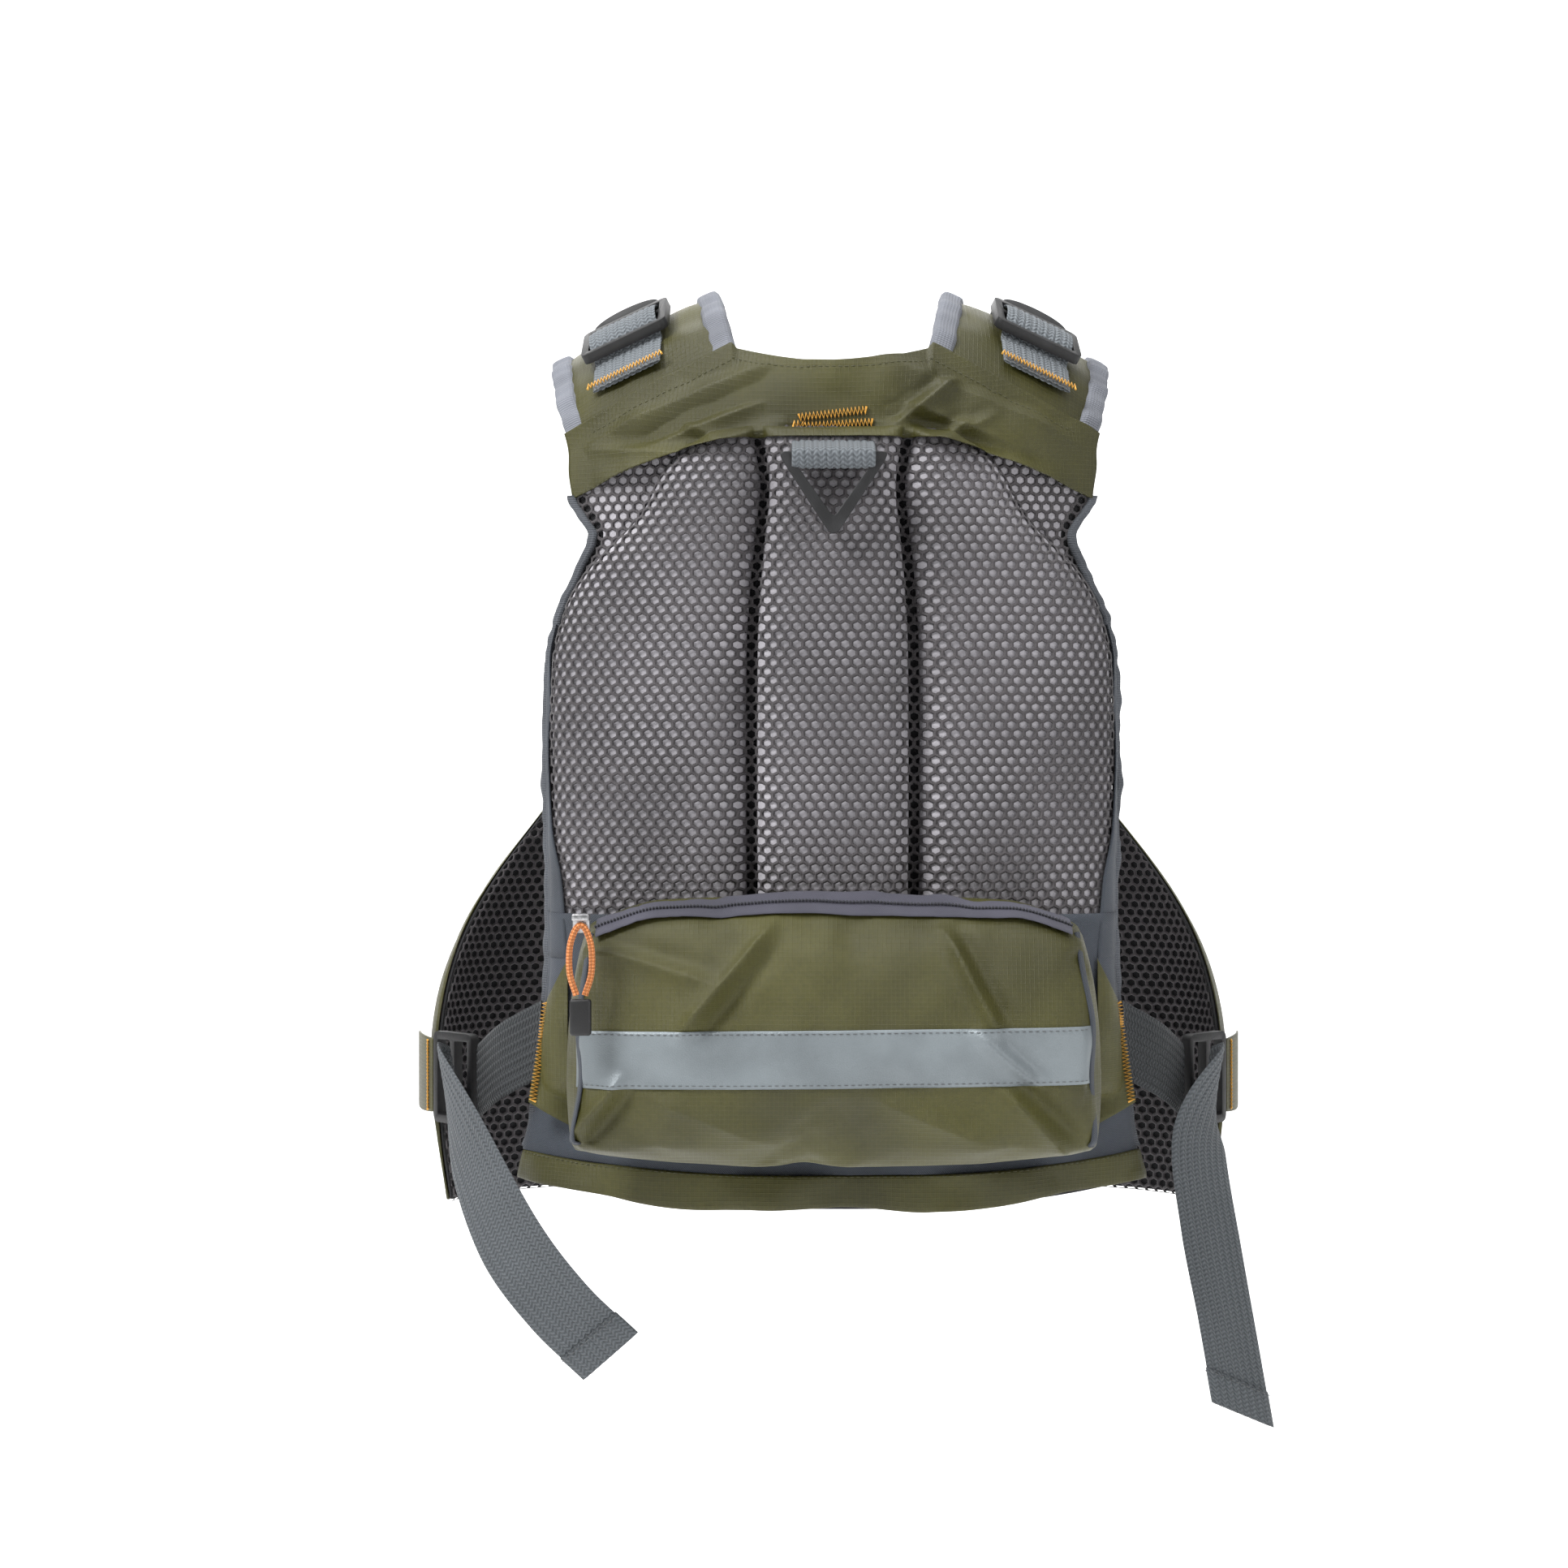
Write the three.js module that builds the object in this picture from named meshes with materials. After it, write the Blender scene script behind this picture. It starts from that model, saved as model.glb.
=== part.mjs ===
// Fishing vest with a foam-filled mesh back, two front halves and a zipped back pouch.
// Millimetres, +Z up. The wearer faces -Y, so the back of the vest is on +Y and the
// wearer's left is +X. The origin is on the neckline, between the shoulders.
import * as THREE from 'three';

// ---------------------------------------------------------------- driving sizes
const CHEST_HALF_WIDTH = 170; // torso form at the chest, side to side
const CHEST_HALF_DEPTH = 112; // torso form at the chest, front to back
const FORM_POWER = 2.4; // squareness of the torso section
const SHOULDER_RADIUS = 80; // roll of the shoulder, front to back
const SHOULDER_SLOPE = 0.44; // fall of the shoulder for each mm outwards
const SHOULDER_TOP_X = 63; // where the shoulder line is SHOULDER_TOP_Z high
const SHOULDER_TOP_Z = 21;
const HEM_Z = -432;
const HEM_HEIGHT = 17;
const HEM_RISE = 9; // the hem's ends are this much higher than its middle
const FABRIC = 1.2; // cloth and mesh layers
const LAYER_GAP = 0.4; // between stacked layers
const BACK_FOAM = 20;
const FRONT_FOAM = 16;
const SEAM_HALF_GAP = 4; // half of the sewn channel between two foam panels
const SEAM_X = 38; // from the middle of the back to a channel
const BINDING_WIDTH = 3.2;
const BINDING_THICK = 3.6;
const WEBBING_WIDTH = 38;
const WEBBING_THICK = 1.6;
const PAD_THICK = 7;
const LOCK_BAR = 4; // bars of the ladder-locks
const LOCK_LENGTH = 36;
const LOCK_THICK = 5;
const RING_WIDTH = 54;
const RING_HEIGHT = 40;
const RING_BAR = 4.2;
const RING_THICK = 4.2;
const POUCH_HALF_WIDTH = 128;
const POUCH_TOP_Z = -279;
const POUCH_BOTTOM_Z = -405;
const POUCH_DEPTH = 42;
const POUCH_WALL = 1.6;
const STRIP_Z = -353;
const STRIP_HEIGHT = 25;
const CHEST_POCKET = { x0: 22, x1: 96, top: -128, bottom: -222, depth: 20 };
const LOWER_POCKET = { x0: 18, x1: 148, top: -258, bottom: -424, depth: 30 };
const FLAP_HEIGHT = 42;
const FRONT_EDGE_X = 10; // the front fabric ends here, and the zip tape begins
const FRONT_ZIP_TOP_Z = -112;
const FRONT_BOTTOM_Z = -445;
const CORD = 3; // zip-pull cord
const PULL_LENGTH = 34; // cord loop, from the slider to its moulded end
const SLIDER = { length: 12, width: 8, thick: 4 };
const FRONT_TOP_Z = -50; // top edge of the front halves
const PAD_CLEAR = 0.045; // radians left free at both ends of a pad
const PAD_X = { inner: 52, outer: 125, wideInner: 62, wideOuter: 136 };
const STRAP_X = 98; // middle of the shoulder webbing
const YOKE_WEB_ANGLE = 0.92; // the webbing is sewn to the yoke here
const LOCK_ANGLE = 0.55; // radians behind the top of the shoulder
const ROLL_AT_LOCK = 92; // radius of the webbing's path over the shoulder
const LOCK_CLEAR = 1.5; // between a lock and the webbing's end
const WING_TOP_Z = -318;
const WING_BOTTOM_Z = -380;
const WING_OUT_X = 150;
const TAIL_CLEAR = 16.5; // the tail leaves the lock this far out, so that the lock can tilt
const TAIL_BEHIND = 9; // and this far behind the lock's middle
const WING_ROOT_X = 132; // where the wing leaves the pouch's side
const WING_LIFT = 24; // over the torso form there
const WING_EDGE = { x: 143, lift: 17.8 }; // its outer edge follows the form at this x
const FORM_AT_POCKETS = 200; // half width of the front form behind the pockets
const POCKET_SLOPE = 0.2; // the lower pocket gets shallower towards the side by this share
const POCKET_SLIDER = { inset: 20, width: 11, top: 8, height: 8, thick: 4 };
const FLAP_THICK = 1.8;
const FRONT_PULL = { width: 5.6, length: 29, thick: 2 };
const TAB_HALF = 20; // half width of the ring's webbing tab
const ZIP_TAPE = { top: 0.04, bottom: 0.09 }; // shares of the pouch's height

const OLIVE = new THREE.MeshStandardMaterial({ color: 0x5b5a2e, roughness: 0.75, metalness: 0 });
const SLATE = new THREE.MeshStandardMaterial({ color: 0x4a5059, roughness: 0.7, metalness: 0 });
const MESH = new THREE.MeshStandardMaterial({ color: 0x5a5659, roughness: 0.8, metalness: 0 });
const FOAM = new THREE.MeshStandardMaterial({ color: 0x9a969c, roughness: 0.9, metalness: 0 });
const BINDING = new THREE.MeshStandardMaterial({ color: 0x6a6d73, roughness: 0.85, metalness: 0 });
const WEBBING = new THREE.MeshStandardMaterial({ color: 0x6d7378, roughness: 0.8, metalness: 0 });
const REFLECTIVE = new THREE.MeshStandardMaterial({ color: 0x8e989d, roughness: 0.4, metalness: 0.3 });
const PLASTIC = new THREE.MeshStandardMaterial({ color: 0x1c1c1e, roughness: 0.45, metalness: 0 });
const STEEL = new THREE.MeshStandardMaterial({ color: 0xb8b8ba, roughness: 0.3, metalness: 1 });
const ORANGE = new THREE.MeshStandardMaterial({ color: 0xf0863a, roughness: 0.8, metalness: 0 });

// ---------------------------------------------------------------- small helpers
const vest = new THREE.Group();
const lerp = THREE.MathUtils.lerp;
const clamp = THREE.MathUtils.clamp;
const UP = new THREE.Vector3(0, 0, 1);

function add(name, geometry, material) {
  const mesh = new THREE.Mesh(geometry, material);
  mesh.name = name;
  vest.add(mesh);
  return mesh;
}

function signedVolume(points, faces) {
  return faces.reduce((sum, [a, b, c]) => {
    return sum + points[a].dot(new THREE.Vector3().crossVectors(points[b], points[c]));
  }, 0);
}

function solid(points, faces) {
  const turned = signedVolume(points, faces) < 0 ? faces.map(([a, b, c]) => [a, c, b]) : faces;
  const geometry = new THREE.BufferGeometry();
  geometry.setFromPoints(points);
  geometry.setIndex(turned.flat());
  geometry.computeVertexNormals();
  return geometry;
}

// A closed slab between two grids of points, rows of the same length in both.
function slab(inner, outer) {
  const rows = inner.length;
  const columns = inner[0].length;
  const points = [...inner.flat(), ...outer.flat()];
  const at = (layer, j, i) => layer * rows * columns + j * columns + i;
  const faces = [];
  const quad = (a, b, c, d) => faces.push([a, b, c], [a, c, d]);
  for (let j = 0; j + 1 < rows; j += 1) {
    for (let i = 0; i + 1 < columns; i += 1) {
      quad(at(1, j, i), at(1, j, i + 1), at(1, j + 1, i + 1), at(1, j + 1, i));
      faces.push([at(0, j, i), at(0, j + 1, i + 1), at(0, j, i + 1)]);
      faces.push([at(0, j, i), at(0, j + 1, i), at(0, j + 1, i + 1)]);
    }
  }
  for (let i = 0; i + 1 < columns; i += 1) {
    quad(at(0, 0, i), at(0, 0, i + 1), at(1, 0, i + 1), at(1, 0, i));
    quad(at(1, rows - 1, i), at(1, rows - 1, i + 1), at(0, rows - 1, i + 1), at(0, rows - 1, i));
  }
  for (let j = 0; j + 1 < rows; j += 1) {
    quad(at(0, j + 1, 0), at(0, j, 0), at(1, j, 0), at(1, j + 1, 0));
    quad(at(1, j + 1, columns - 1), at(1, j, columns - 1), at(0, j, columns - 1), at(0, j + 1, columns - 1));
  }
  return solid(points, faces);
}

function grid(rows, columns, point) {
  return rows.map((row) => columns.map((column) => point(row, column)));
}

function box(x0, x1, y0, y1, z0, z1) {
  const geometry = new THREE.BoxGeometry(Math.abs(x1 - x0), Math.abs(y1 - y0), Math.abs(z1 - z0));
  return geometry.translate((x0 + x1) / 2, (y0 + y1) / 2, (z0 + z1) / 2);
}

function rounded(shape, x, y, w, h, r) {
  shape.moveTo(x + w / 2, y);
  shape.lineTo(x + w - r, y);
  shape.absarc(x + w - r, y + r, r, -Math.PI / 2, 0, false);
  shape.lineTo(x + w, y + h - r);
  shape.absarc(x + w - r, y + h - r, r, 0, Math.PI / 2, false);
  shape.lineTo(x + r, y + h);
  shape.absarc(x + r, y + h - r, r, Math.PI / 2, Math.PI, false);
  shape.lineTo(x, y + r);
  shape.absarc(x + r, y + r, r, Math.PI, Math.PI * 1.5, false);
  return shape;
}

const span = (from, to, count) => Array.from({ length: count + 1 }, (_, k) => lerp(from, to, k / count));
const range = (from, to) => Array.from({ length: to - from + 1 }, (_, k) => from + k);

// ---------------------------------------------------------------- the torso form
const shoulderZ = (x) => SHOULDER_TOP_Z - SHOULDER_SLOPE * (Math.abs(x) - SHOULDER_TOP_X);
const sideFactor = (x, halfWidth) => {
  const share = Math.min(Math.abs(x) / halfWidth, 0.99);
  return (1 - share ** FORM_POWER) ** (1 / FORM_POWER);
};
const shoulderFactor = (x, z) => {
  const t = clamp((shoulderZ(x) - z) / SHOULDER_RADIUS, 0.02, 1);
  return Math.sqrt(1 - (1 - t) ** 2);
};
const backHeight = (x, z) => CHEST_HALF_DEPTH * sideFactor(x, CHEST_HALF_WIDTH) * shoulderFactor(x, z);

function backNormal(x, z) {
  const step = 2;
  const dx = (backHeight(x + step, z) - backHeight(x - step, z)) / (2 * step);
  const dz = (backHeight(x, z + step) - backHeight(x, z - step)) / (2 * step);
  return new THREE.Vector3(-dx, 1, -dz).normalize();
}

const onBack = (x, z, offset) => {
  return new THREE.Vector3(x, backHeight(x, z), z).addScaledVector(backNormal(x, z), offset);
};

// ---------------------------------------------------------------- the back panel's grid
// Each row is [z in the middle, z at the side edge, half width at the edge].
const BACK_ROWS = [
  [-20, -54, 128],
  [-38, -69, 128],
  [-57, -84, 126],
  [-80, -104, 116],
  [-105, -122, 124],
  [-132, -142, 133],
  [-160, -165, 138],
  [-190, -192, 139],
  [-220, -220, 139],
  [-250, -250, 139],
  [-270, -270, 138],
  [-310, -310, 138],
  [-345, -345, 141],
  [-380, -380, 145],
  [HEM_Z + HEM_HEIGHT + 1, HEM_Z + HEM_HEIGHT + 1 + HEM_RISE - 2, 150],
  [HEM_Z + HEM_HEIGHT, HEM_Z + HEM_HEIGHT + HEM_RISE - 2, 150],
  [HEM_Z, HEM_Z + HEM_RISE, 153],
];
const NECK_HALF_WIDTH = 47;
const NECK_SIDE_Z = -13;
const YOKE_END = 2;
const FOAM_START = 3;
const FOAM_END = 13;
const BASE_START = 10;
const BASE_END = 14;
const HEM_START = 15;
const LAST_ROW = BACK_ROWS.length - 1;
const seam = SEAM_X / 135;
const seamGap = SEAM_HALF_GAP / 135;
const HALF_COLUMNS = [0, 0.13, seam - seamGap, seam, seam + seamGap, 0.45, 0.62, 0.8, 0.93, 1];
const BACK_COLUMNS = [...HALF_COLUMNS.slice(1).reverse().map((u) => -u), ...HALF_COLUMNS];
const MIDDLE = HALF_COLUMNS.length - 1;

function backXZ(j, i) {
  const [middle, edge, halfWidth] = BACK_ROWS[j];
  const u = BACK_COLUMNS[i];
  const x = u * halfWidth;
  const out = Math.abs(x);
  if (j === 0) {
    const neck = middle + (NECK_SIDE_Z - middle) * (out / NECK_HALF_WIDTH) ** 2;
    const fall = (out - NECK_HALF_WIDTH) / (halfWidth - NECK_HALF_WIDTH);
    return [x, out < NECK_HALF_WIDTH ? neck : lerp(NECK_SIDE_Z, edge, fall)];
  }
  return [x, middle + (edge - middle) * Math.max(0, (Math.abs(u) - 0.3) / 0.7) ** 1.5];
}

const inFoam = (j, i) => {
  const k = Math.abs(i - MIDDLE);
  return j >= FOAM_START && j <= FOAM_END && (k <= 2 || (k >= 4 && k <= 8));
};
const foamEdge = (j, i) => {
  const k = Math.abs(i - MIDDLE);
  return j === FOAM_START || j === FOAM_END || k === 2 || k === 4 || k === 8;
};
const foamDepth = (j, i) => {
  if (!inFoam(j, i)) return 0;
  return foamEdge(j, i) ? BACK_FOAM * 0.55 : BACK_FOAM;
};
const foamBottom = FABRIC + LAYER_GAP;
const meshBottom = (j, i) => foamBottom + foamDepth(j, i) + LAYER_GAP;
const meshTop = (j, i) => meshBottom(j, i) + FABRIC;

function backSlab(j0, j1, i0, i1, bottom, top) {
  const rows = range(j0, j1);
  const columns = range(i0, i1);
  const layer = (offset) => grid(rows, columns, (j, i) => onBack(...backXZ(j, i), offset(j, i)));
  return slab(layer(bottom), layer(top));
}

const END = BACK_COLUMNS.length - 1;
add('back_lining', backSlab(0, LAST_ROW, 0, END, () => 0, () => FABRIC), MESH);
const foamTop = (j, i) => foamBottom + foamDepth(j, i);
const foam = (i0, i1) => backSlab(FOAM_START, FOAM_END, i0, i1, () => foamBottom, foamTop);
add('back_foam_right', foam(1, MIDDLE - 4), FOAM);
add('back_foam_centre', foam(MIDDLE - 2, MIDDLE + 2), FOAM);
add('back_foam_left', foam(MIDDLE + 4, END - 1), FOAM);
add('back_mesh', backSlab(0, LAST_ROW, 0, END, meshBottom, meshTop), MESH);
const over = (j, i) => meshTop(j, i) + LAYER_GAP;
const overTop = (j, i) => over(j, i) + FABRIC;
add('back_yoke', backSlab(0, YOKE_END, 0, END, over, overTop), OLIVE);
add('back_base_panel', backSlab(BASE_START, BASE_END, 0, END, over, overTop), SLATE);
add('hem_band', backSlab(HEM_START, LAST_ROW, 0, END, over, overTop), OLIVE);
add('side_strip_right', backSlab(6, BASE_START - 1, 0, 1, over, overTop), SLATE);
add('side_strip_left', backSlab(6, BASE_START - 1, END - 1, END, over, overTop), SLATE);

// ---------------------------------------------------------------- mirrored pieces
const SIDES = [
  ['left', 1],
  ['right', -1],
];
const mirrored = (points, side) => points.map((row) => {
  return row.map((p) => new THREE.Vector3(p.x * side, p.y, p.z));
});

// The armhole binding runs outside the back panel's side edge.
function armholeBinding() {
  const rows = range(YOKE_END, BASE_END - 1);
  const at = (j, out, offset) => {
    const [x, z] = backXZ(j, END);
    return onBack(x, z, offset).add(new THREE.Vector3(out, 0, 0));
  };
  const near = LAYER_GAP + 0.2;
  const layer = (offset) => rows.map((j) => [at(j, near, offset), at(j, near + BINDING_WIDTH, offset)]);
  return [layer(-0.4), layer(BINDING_THICK)];
}

// ---------------------------------------------------------------- shoulders
const shoulderDepth = (x) => CHEST_HALF_DEPTH * sideFactor(x, CHEST_HALF_WIDTH);
const onShoulder = (x, angle) => new THREE.Vector3(
  x,
  shoulderDepth(x) * Math.sin(angle),
  shoulderZ(x) - SHOULDER_RADIUS * (1 - Math.cos(angle)),
);
function shoulderFrame(x, angle) {
  const across = onShoulder(x + 1, angle).sub(onShoulder(x - 1, angle)).normalize();
  const along = onShoulder(x, angle + 0.02).sub(onShoulder(x, angle - 0.02)).normalize();
  const up = new THREE.Vector3().crossVectors(along, across).normalize();
  if (up.z < 0) up.negate();
  return { across, along, up };
}
const offShoulder = (x, angle, offset) => {
  return onShoulder(x, angle).addScaledVector(shoulderFrame(x, angle).up, offset);
};
const angleAt = (x, z) => Math.acos(clamp(1 - (shoulderZ(x) - z) / SHOULDER_RADIUS, -1, 1));

function padLayers() {
  const steps = span(0, 1, 10);
  const acrossSteps = span(0, 1, 4);
  const place = (s, w) => {
    const swell = Math.sin(Math.PI * s);
    const x = lerp(lerp(PAD_X.inner, PAD_X.wideInner, swell), lerp(PAD_X.outer, PAD_X.wideOuter, swell), w);
    const fall = (x - NECK_HALF_WIDTH) / (BACK_ROWS[0][2] - NECK_HALF_WIDTH);
    const back = angleAt(x, lerp(NECK_SIDE_Z, BACK_ROWS[0][1], fall)) - PAD_CLEAR;
    const front = -angleAt(x, FRONT_TOP_Z) + PAD_CLEAR;
    return [x, lerp(back, front, s)];
  };
  const layer = (offset) => grid(steps, acrossSteps, (s, w) => offShoulder(...place(s, w), offset(w)));
  return [layer(() => 0), layer((w) => PAD_THICK - 2.5 * Math.abs(2 * w - 1))];
}

const WEB_LIFT = PAD_THICK + 1.5;
const LOCK_LIFT = WEB_LIFT + 4;
const lockReach = (LOCK_LENGTH / 2 + LOCK_CLEAR) / ROLL_AT_LOCK; // in radians
function shoulderWeb(from, to, count, lift) {
  const half = WEBBING_WIDTH / 2;
  const steps = span(from, to, count);
  const layer = (offset) => steps.map((a) => [-half, 0, half].map((w) => {
    const f = shoulderFrame(STRAP_X, a);
    return offShoulder(STRAP_X, a, offset).addScaledVector(f.across, w);
  }));
  return [layer(lift), layer(lift + WEBBING_THICK)];
}

// A ladder-lock: three bars, two slots and a thumb tab, flat in X (across) and Y (along).
function ladderLock() {
  const width = WEBBING_WIDTH + 2 * LOCK_BAR + 1;
  const shape = rounded(new THREE.Shape(), -width / 2, -LOCK_LENGTH / 2, width, LOCK_LENGTH, 4);
  const slot = (LOCK_LENGTH - 3 * LOCK_BAR) / 2;
  [-LOCK_LENGTH / 2 + LOCK_BAR, LOCK_BAR / 2].forEach((y) => {
    shape.holes.push(rounded(new THREE.Path(), -(WEBBING_WIDTH + 1) / 2, y, WEBBING_WIDTH + 1, slot, 1));
  });
  const options = { depth: LOCK_THICK, bevelEnabled: false, curveSegments: 3 };
  return new THREE.ExtrudeGeometry(shape, options).translate(0, 0, -LOCK_THICK / 2);
}

function placed(geometry, across, along, centre) {
  const facing = new THREE.Vector3().crossVectors(across, along);
  const basis = new THREE.Matrix4().makeBasis(across, along, facing).setPosition(centre);
  geometry.applyMatrix4(basis);
  return geometry;
}

// ---------------------------------------------------------------- the front halves
// Each row is [z, half width of the form, angle of the side edge in degrees, x of the front edge].
const FRONT_ROWS = [
  [FRONT_TOP_Z, 165, 46, 54],
  [-75, 165, 39, 38],
  [-100, 165, 35, 14],
  [FRONT_ZIP_TOP_Z, 165, 34.5, FRONT_EDGE_X],
  [-140, 165, 36, FRONT_EDGE_X],
  [-170, 167, 39, FRONT_EDGE_X],
  [-200, 172, 44, FRONT_EDGE_X],
  [-230, 180, 51, FRONT_EDGE_X],
  [-262, 191, 61, FRONT_EDGE_X],
  [-300, 200, 75, FRONT_EDGE_X],
  [-345, 206, 84, FRONT_EDGE_X],
  [-390, 206, 86, FRONT_EDGE_X],
  [-425, 203, 84, FRONT_EDGE_X],
  [FRONT_BOTTOM_Z, 201, 82, FRONT_EDGE_X],
];
const FRONT_COLUMNS = [0, 0.06, 0.2, 0.36, 0.52, 0.68, 0.82, 0.94, 1];
const FRONT_FOAM_START = 4;
const FRONT_FOAM_END = 11;
const sinPower = 2 / FORM_POWER;

function frontForm(j, angle) {
  const [z, halfWidth] = FRONT_ROWS[j];
  const x = halfWidth * Math.sin(angle) ** sinPower;
  const y = -CHEST_HALF_DEPTH * Math.cos(angle) ** sinPower * shoulderFactor(x, z);
  return new THREE.Vector3(x, y, z);
}
function frontPoint(j, i, offset) {
  const [, halfWidth, edge, frontX] = FRONT_ROWS[j];
  const start = Math.asin((frontX / halfWidth) ** (1 / sinPower));
  const angle = lerp(start, THREE.MathUtils.degToRad(edge), FRONT_COLUMNS[i]);
  const point = frontForm(j, angle);
  const along = frontForm(j, angle + 0.01).sub(frontForm(j, angle - 0.01));
  const low = Math.min(j + 1, FRONT_ROWS.length - 1);
  const down = frontForm(low, angle).sub(frontForm(Math.max(low - 1, 0), angle));
  const normal = new THREE.Vector3().crossVectors(along, down).normalize();
  if (normal.y > 0) normal.negate();
  return point.addScaledVector(normal, offset);
}
const frontFoamDepth = (j, i) => {
  const inside = j >= FRONT_FOAM_START && j <= FRONT_FOAM_END && i >= 1 && i <= FRONT_COLUMNS.length - 2;
  if (!inside) return 0;
  const edge = j === FRONT_FOAM_START || j === FRONT_FOAM_END || i === 1 || i === FRONT_COLUMNS.length - 2;
  return edge ? FRONT_FOAM * 0.5 : FRONT_FOAM;
};
function frontLayers(j0, j1, i0, i1, bottom, top) {
  const rows = range(j0, j1);
  const columns = range(i0, i1);
  const layer = (offset) => grid(rows, columns, (j, i) => frontPoint(j, i, offset(j, i)));
  return [layer(bottom), layer(top)];
}
const frontFoamTop = (j, i) => foamBottom + frontFoamDepth(j, i);
const frontShellBottom = (j, i) => frontFoamTop(j, i) + LAYER_GAP;
const frontShellTop = (j, i) => frontShellBottom(j, i) + FABRIC;
const FRONT_LAST = FRONT_ROWS.length - 1;
const FRONT_END = FRONT_COLUMNS.length - 1;
const frontFaceY = -(CHEST_HALF_DEPTH + foamBottom + FRONT_FOAM + LAYER_GAP + FABRIC);

// A pocket is a cup of cloth, open towards the panel that it is sewn to.
function cup({ x0, x1, top, bottom, wall, columns, rows, base, height }) {
  const xs = [0, 0.015, ...columns, 0.985, 1];
  const zs = [0, 0.03, ...rows, 0.97, 1];
  const layer = (shrink) => zs.map((b) => xs.map((a) => {
    const x = lerp(x0 + shrink, x1 - shrink, a);
    const z = lerp(top - shrink, bottom + shrink, b);
    const rim = a === 0 || a === 1 || b === 0 || b === 1;
    return base(x, z, rim ? 0 : height(a, b) - shrink);
  }));
  return [layer(wall), layer(0)];
}

const backOuter = BACK_FOAM + foamBottom + 3 * LAYER_GAP + 2 * FABRIC + 1.2;
function backOuterY(x, z) {
  const n = backNormal(x, z);
  return backHeight(x, z) + backOuter / n.y;
}

// A pocket on the front panel, whose face leans back by slope towards the side.
const pocketLift = frontShellTop(6, 3) + 1;
function pocket(size, slope) {
  const [inner, outer] = cup({
    x0: size.x0,
    x1: size.x1,
    top: size.top,
    bottom: size.bottom,
    wall: POUCH_WALL,
    columns: [0.3, 0.7],
    rows: [0.5],
    base: (x, z, h) => {
      const angle = Math.asin((x / FORM_AT_POCKETS) ** (1 / sinPower));
      const panel = -CHEST_HALF_DEPTH * Math.cos(angle) ** sinPower - pocketLift / Math.cos(angle);
      const face = frontFaceY - size.depth + slope * (x - size.x0);
      return new THREE.Vector3(x, h === 0 ? panel : face, z);
    },
    height: () => size.depth,
  });
  const onRim = (j, i) => j === 0 || i === 0 || j === inner.length - 1 || i === inner[0].length - 1;
  inner.forEach((row, j) => row.forEach((p, i) => p.setY(p.y + (onRim(j, i) ? 0 : POUCH_WALL))));
  return [inner, outer];
}

// ---------------------------------------------------------------- the back pouch
// The pouch's face keeps its own plane while the panel behind it curves away.
const FACE_PROFILE = [
  [0, 0.65],
  [0.03, 0.65],
  [0.09, 0.83],
  [0.3, 0.95],
  [0.5, 1],
  [0.7, 1],
  [0.9, 0.93],
  [1, 0.8],
];
const pouchBackY = backOuterY(0, POUCH_TOP_Z);
function pouchFace(a, b) {
  const k = FACE_PROFILE.findIndex(([share]) => share > b);
  const [s1, d1] = FACE_PROFILE[k < 0 ? FACE_PROFILE.length - 1 : k];
  const [s0, d0] = FACE_PROFILE[(k < 0 ? FACE_PROFILE.length : k) - 1];
  const depth = k < 0 ? d1 : lerp(d0, d1, (b - s0) / (s1 - s0));
  return pouchBackY + POUCH_DEPTH * (depth - 0.22 * Math.abs(2 * a - 1) ** 4);
}
add('back_pouch', slab(...cup({
  x0: -POUCH_HALF_WIDTH,
  x1: POUCH_HALF_WIDTH,
  top: POUCH_TOP_Z,
  bottom: POUCH_BOTTOM_Z,
  wall: POUCH_WALL,
  columns: [0.1, 0.22, 0.36, 0.5, 0.64, 0.78, 0.9],
  rows: [0.09, 0.3, 0.5, 0.7, 0.9],
  base: (x, z, h) => new THREE.Vector3(x, h === 0 ? backOuterY(x, z) : h, z),
  height: pouchFace,
})), OLIVE);

// The zip tape lies along the pouch's top edge, and the slider runs on its straight line.
const ZIP_X = POUCH_HALF_WIDTH - 10;
const TAPE_LIFT = 1.6;
const pouchHeight = POUCH_TOP_Z - POUCH_BOTTOM_Z;
const tapeLayer = (lift) => span(0.04, 0.96, 12).map((a) => [ZIP_TAPE.top, ZIP_TAPE.bottom].map((b) => {
  const x = lerp(-POUCH_HALF_WIDTH, POUCH_HALF_WIDTH, a);
  return new THREE.Vector3(x, pouchFace(a, b) + lift, POUCH_TOP_Z - b * pouchHeight + lift);
}));
add('pouch_zip_tape', slab(tapeLayer(TAPE_LIFT), tapeLayer(TAPE_LIFT + 1)), SLATE);

const stripTop = STRIP_Z + STRIP_HEIGHT / 2;
const stripLayer = (lift) => [stripTop, STRIP_Z, stripTop - STRIP_HEIGHT].map((z) => {
  return span(0.025, 0.975, 16).map((a) => {
    const x = lerp(-POUCH_HALF_WIDTH, POUCH_HALF_WIDTH, a);
    return new THREE.Vector3(x, pouchFace(a, (POUCH_TOP_Z - z) / pouchHeight) + lift, z);
  });
});
add('reflective_strip', slab(stripLayer(1), stripLayer(1.8)), REFLECTIVE);

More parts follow.
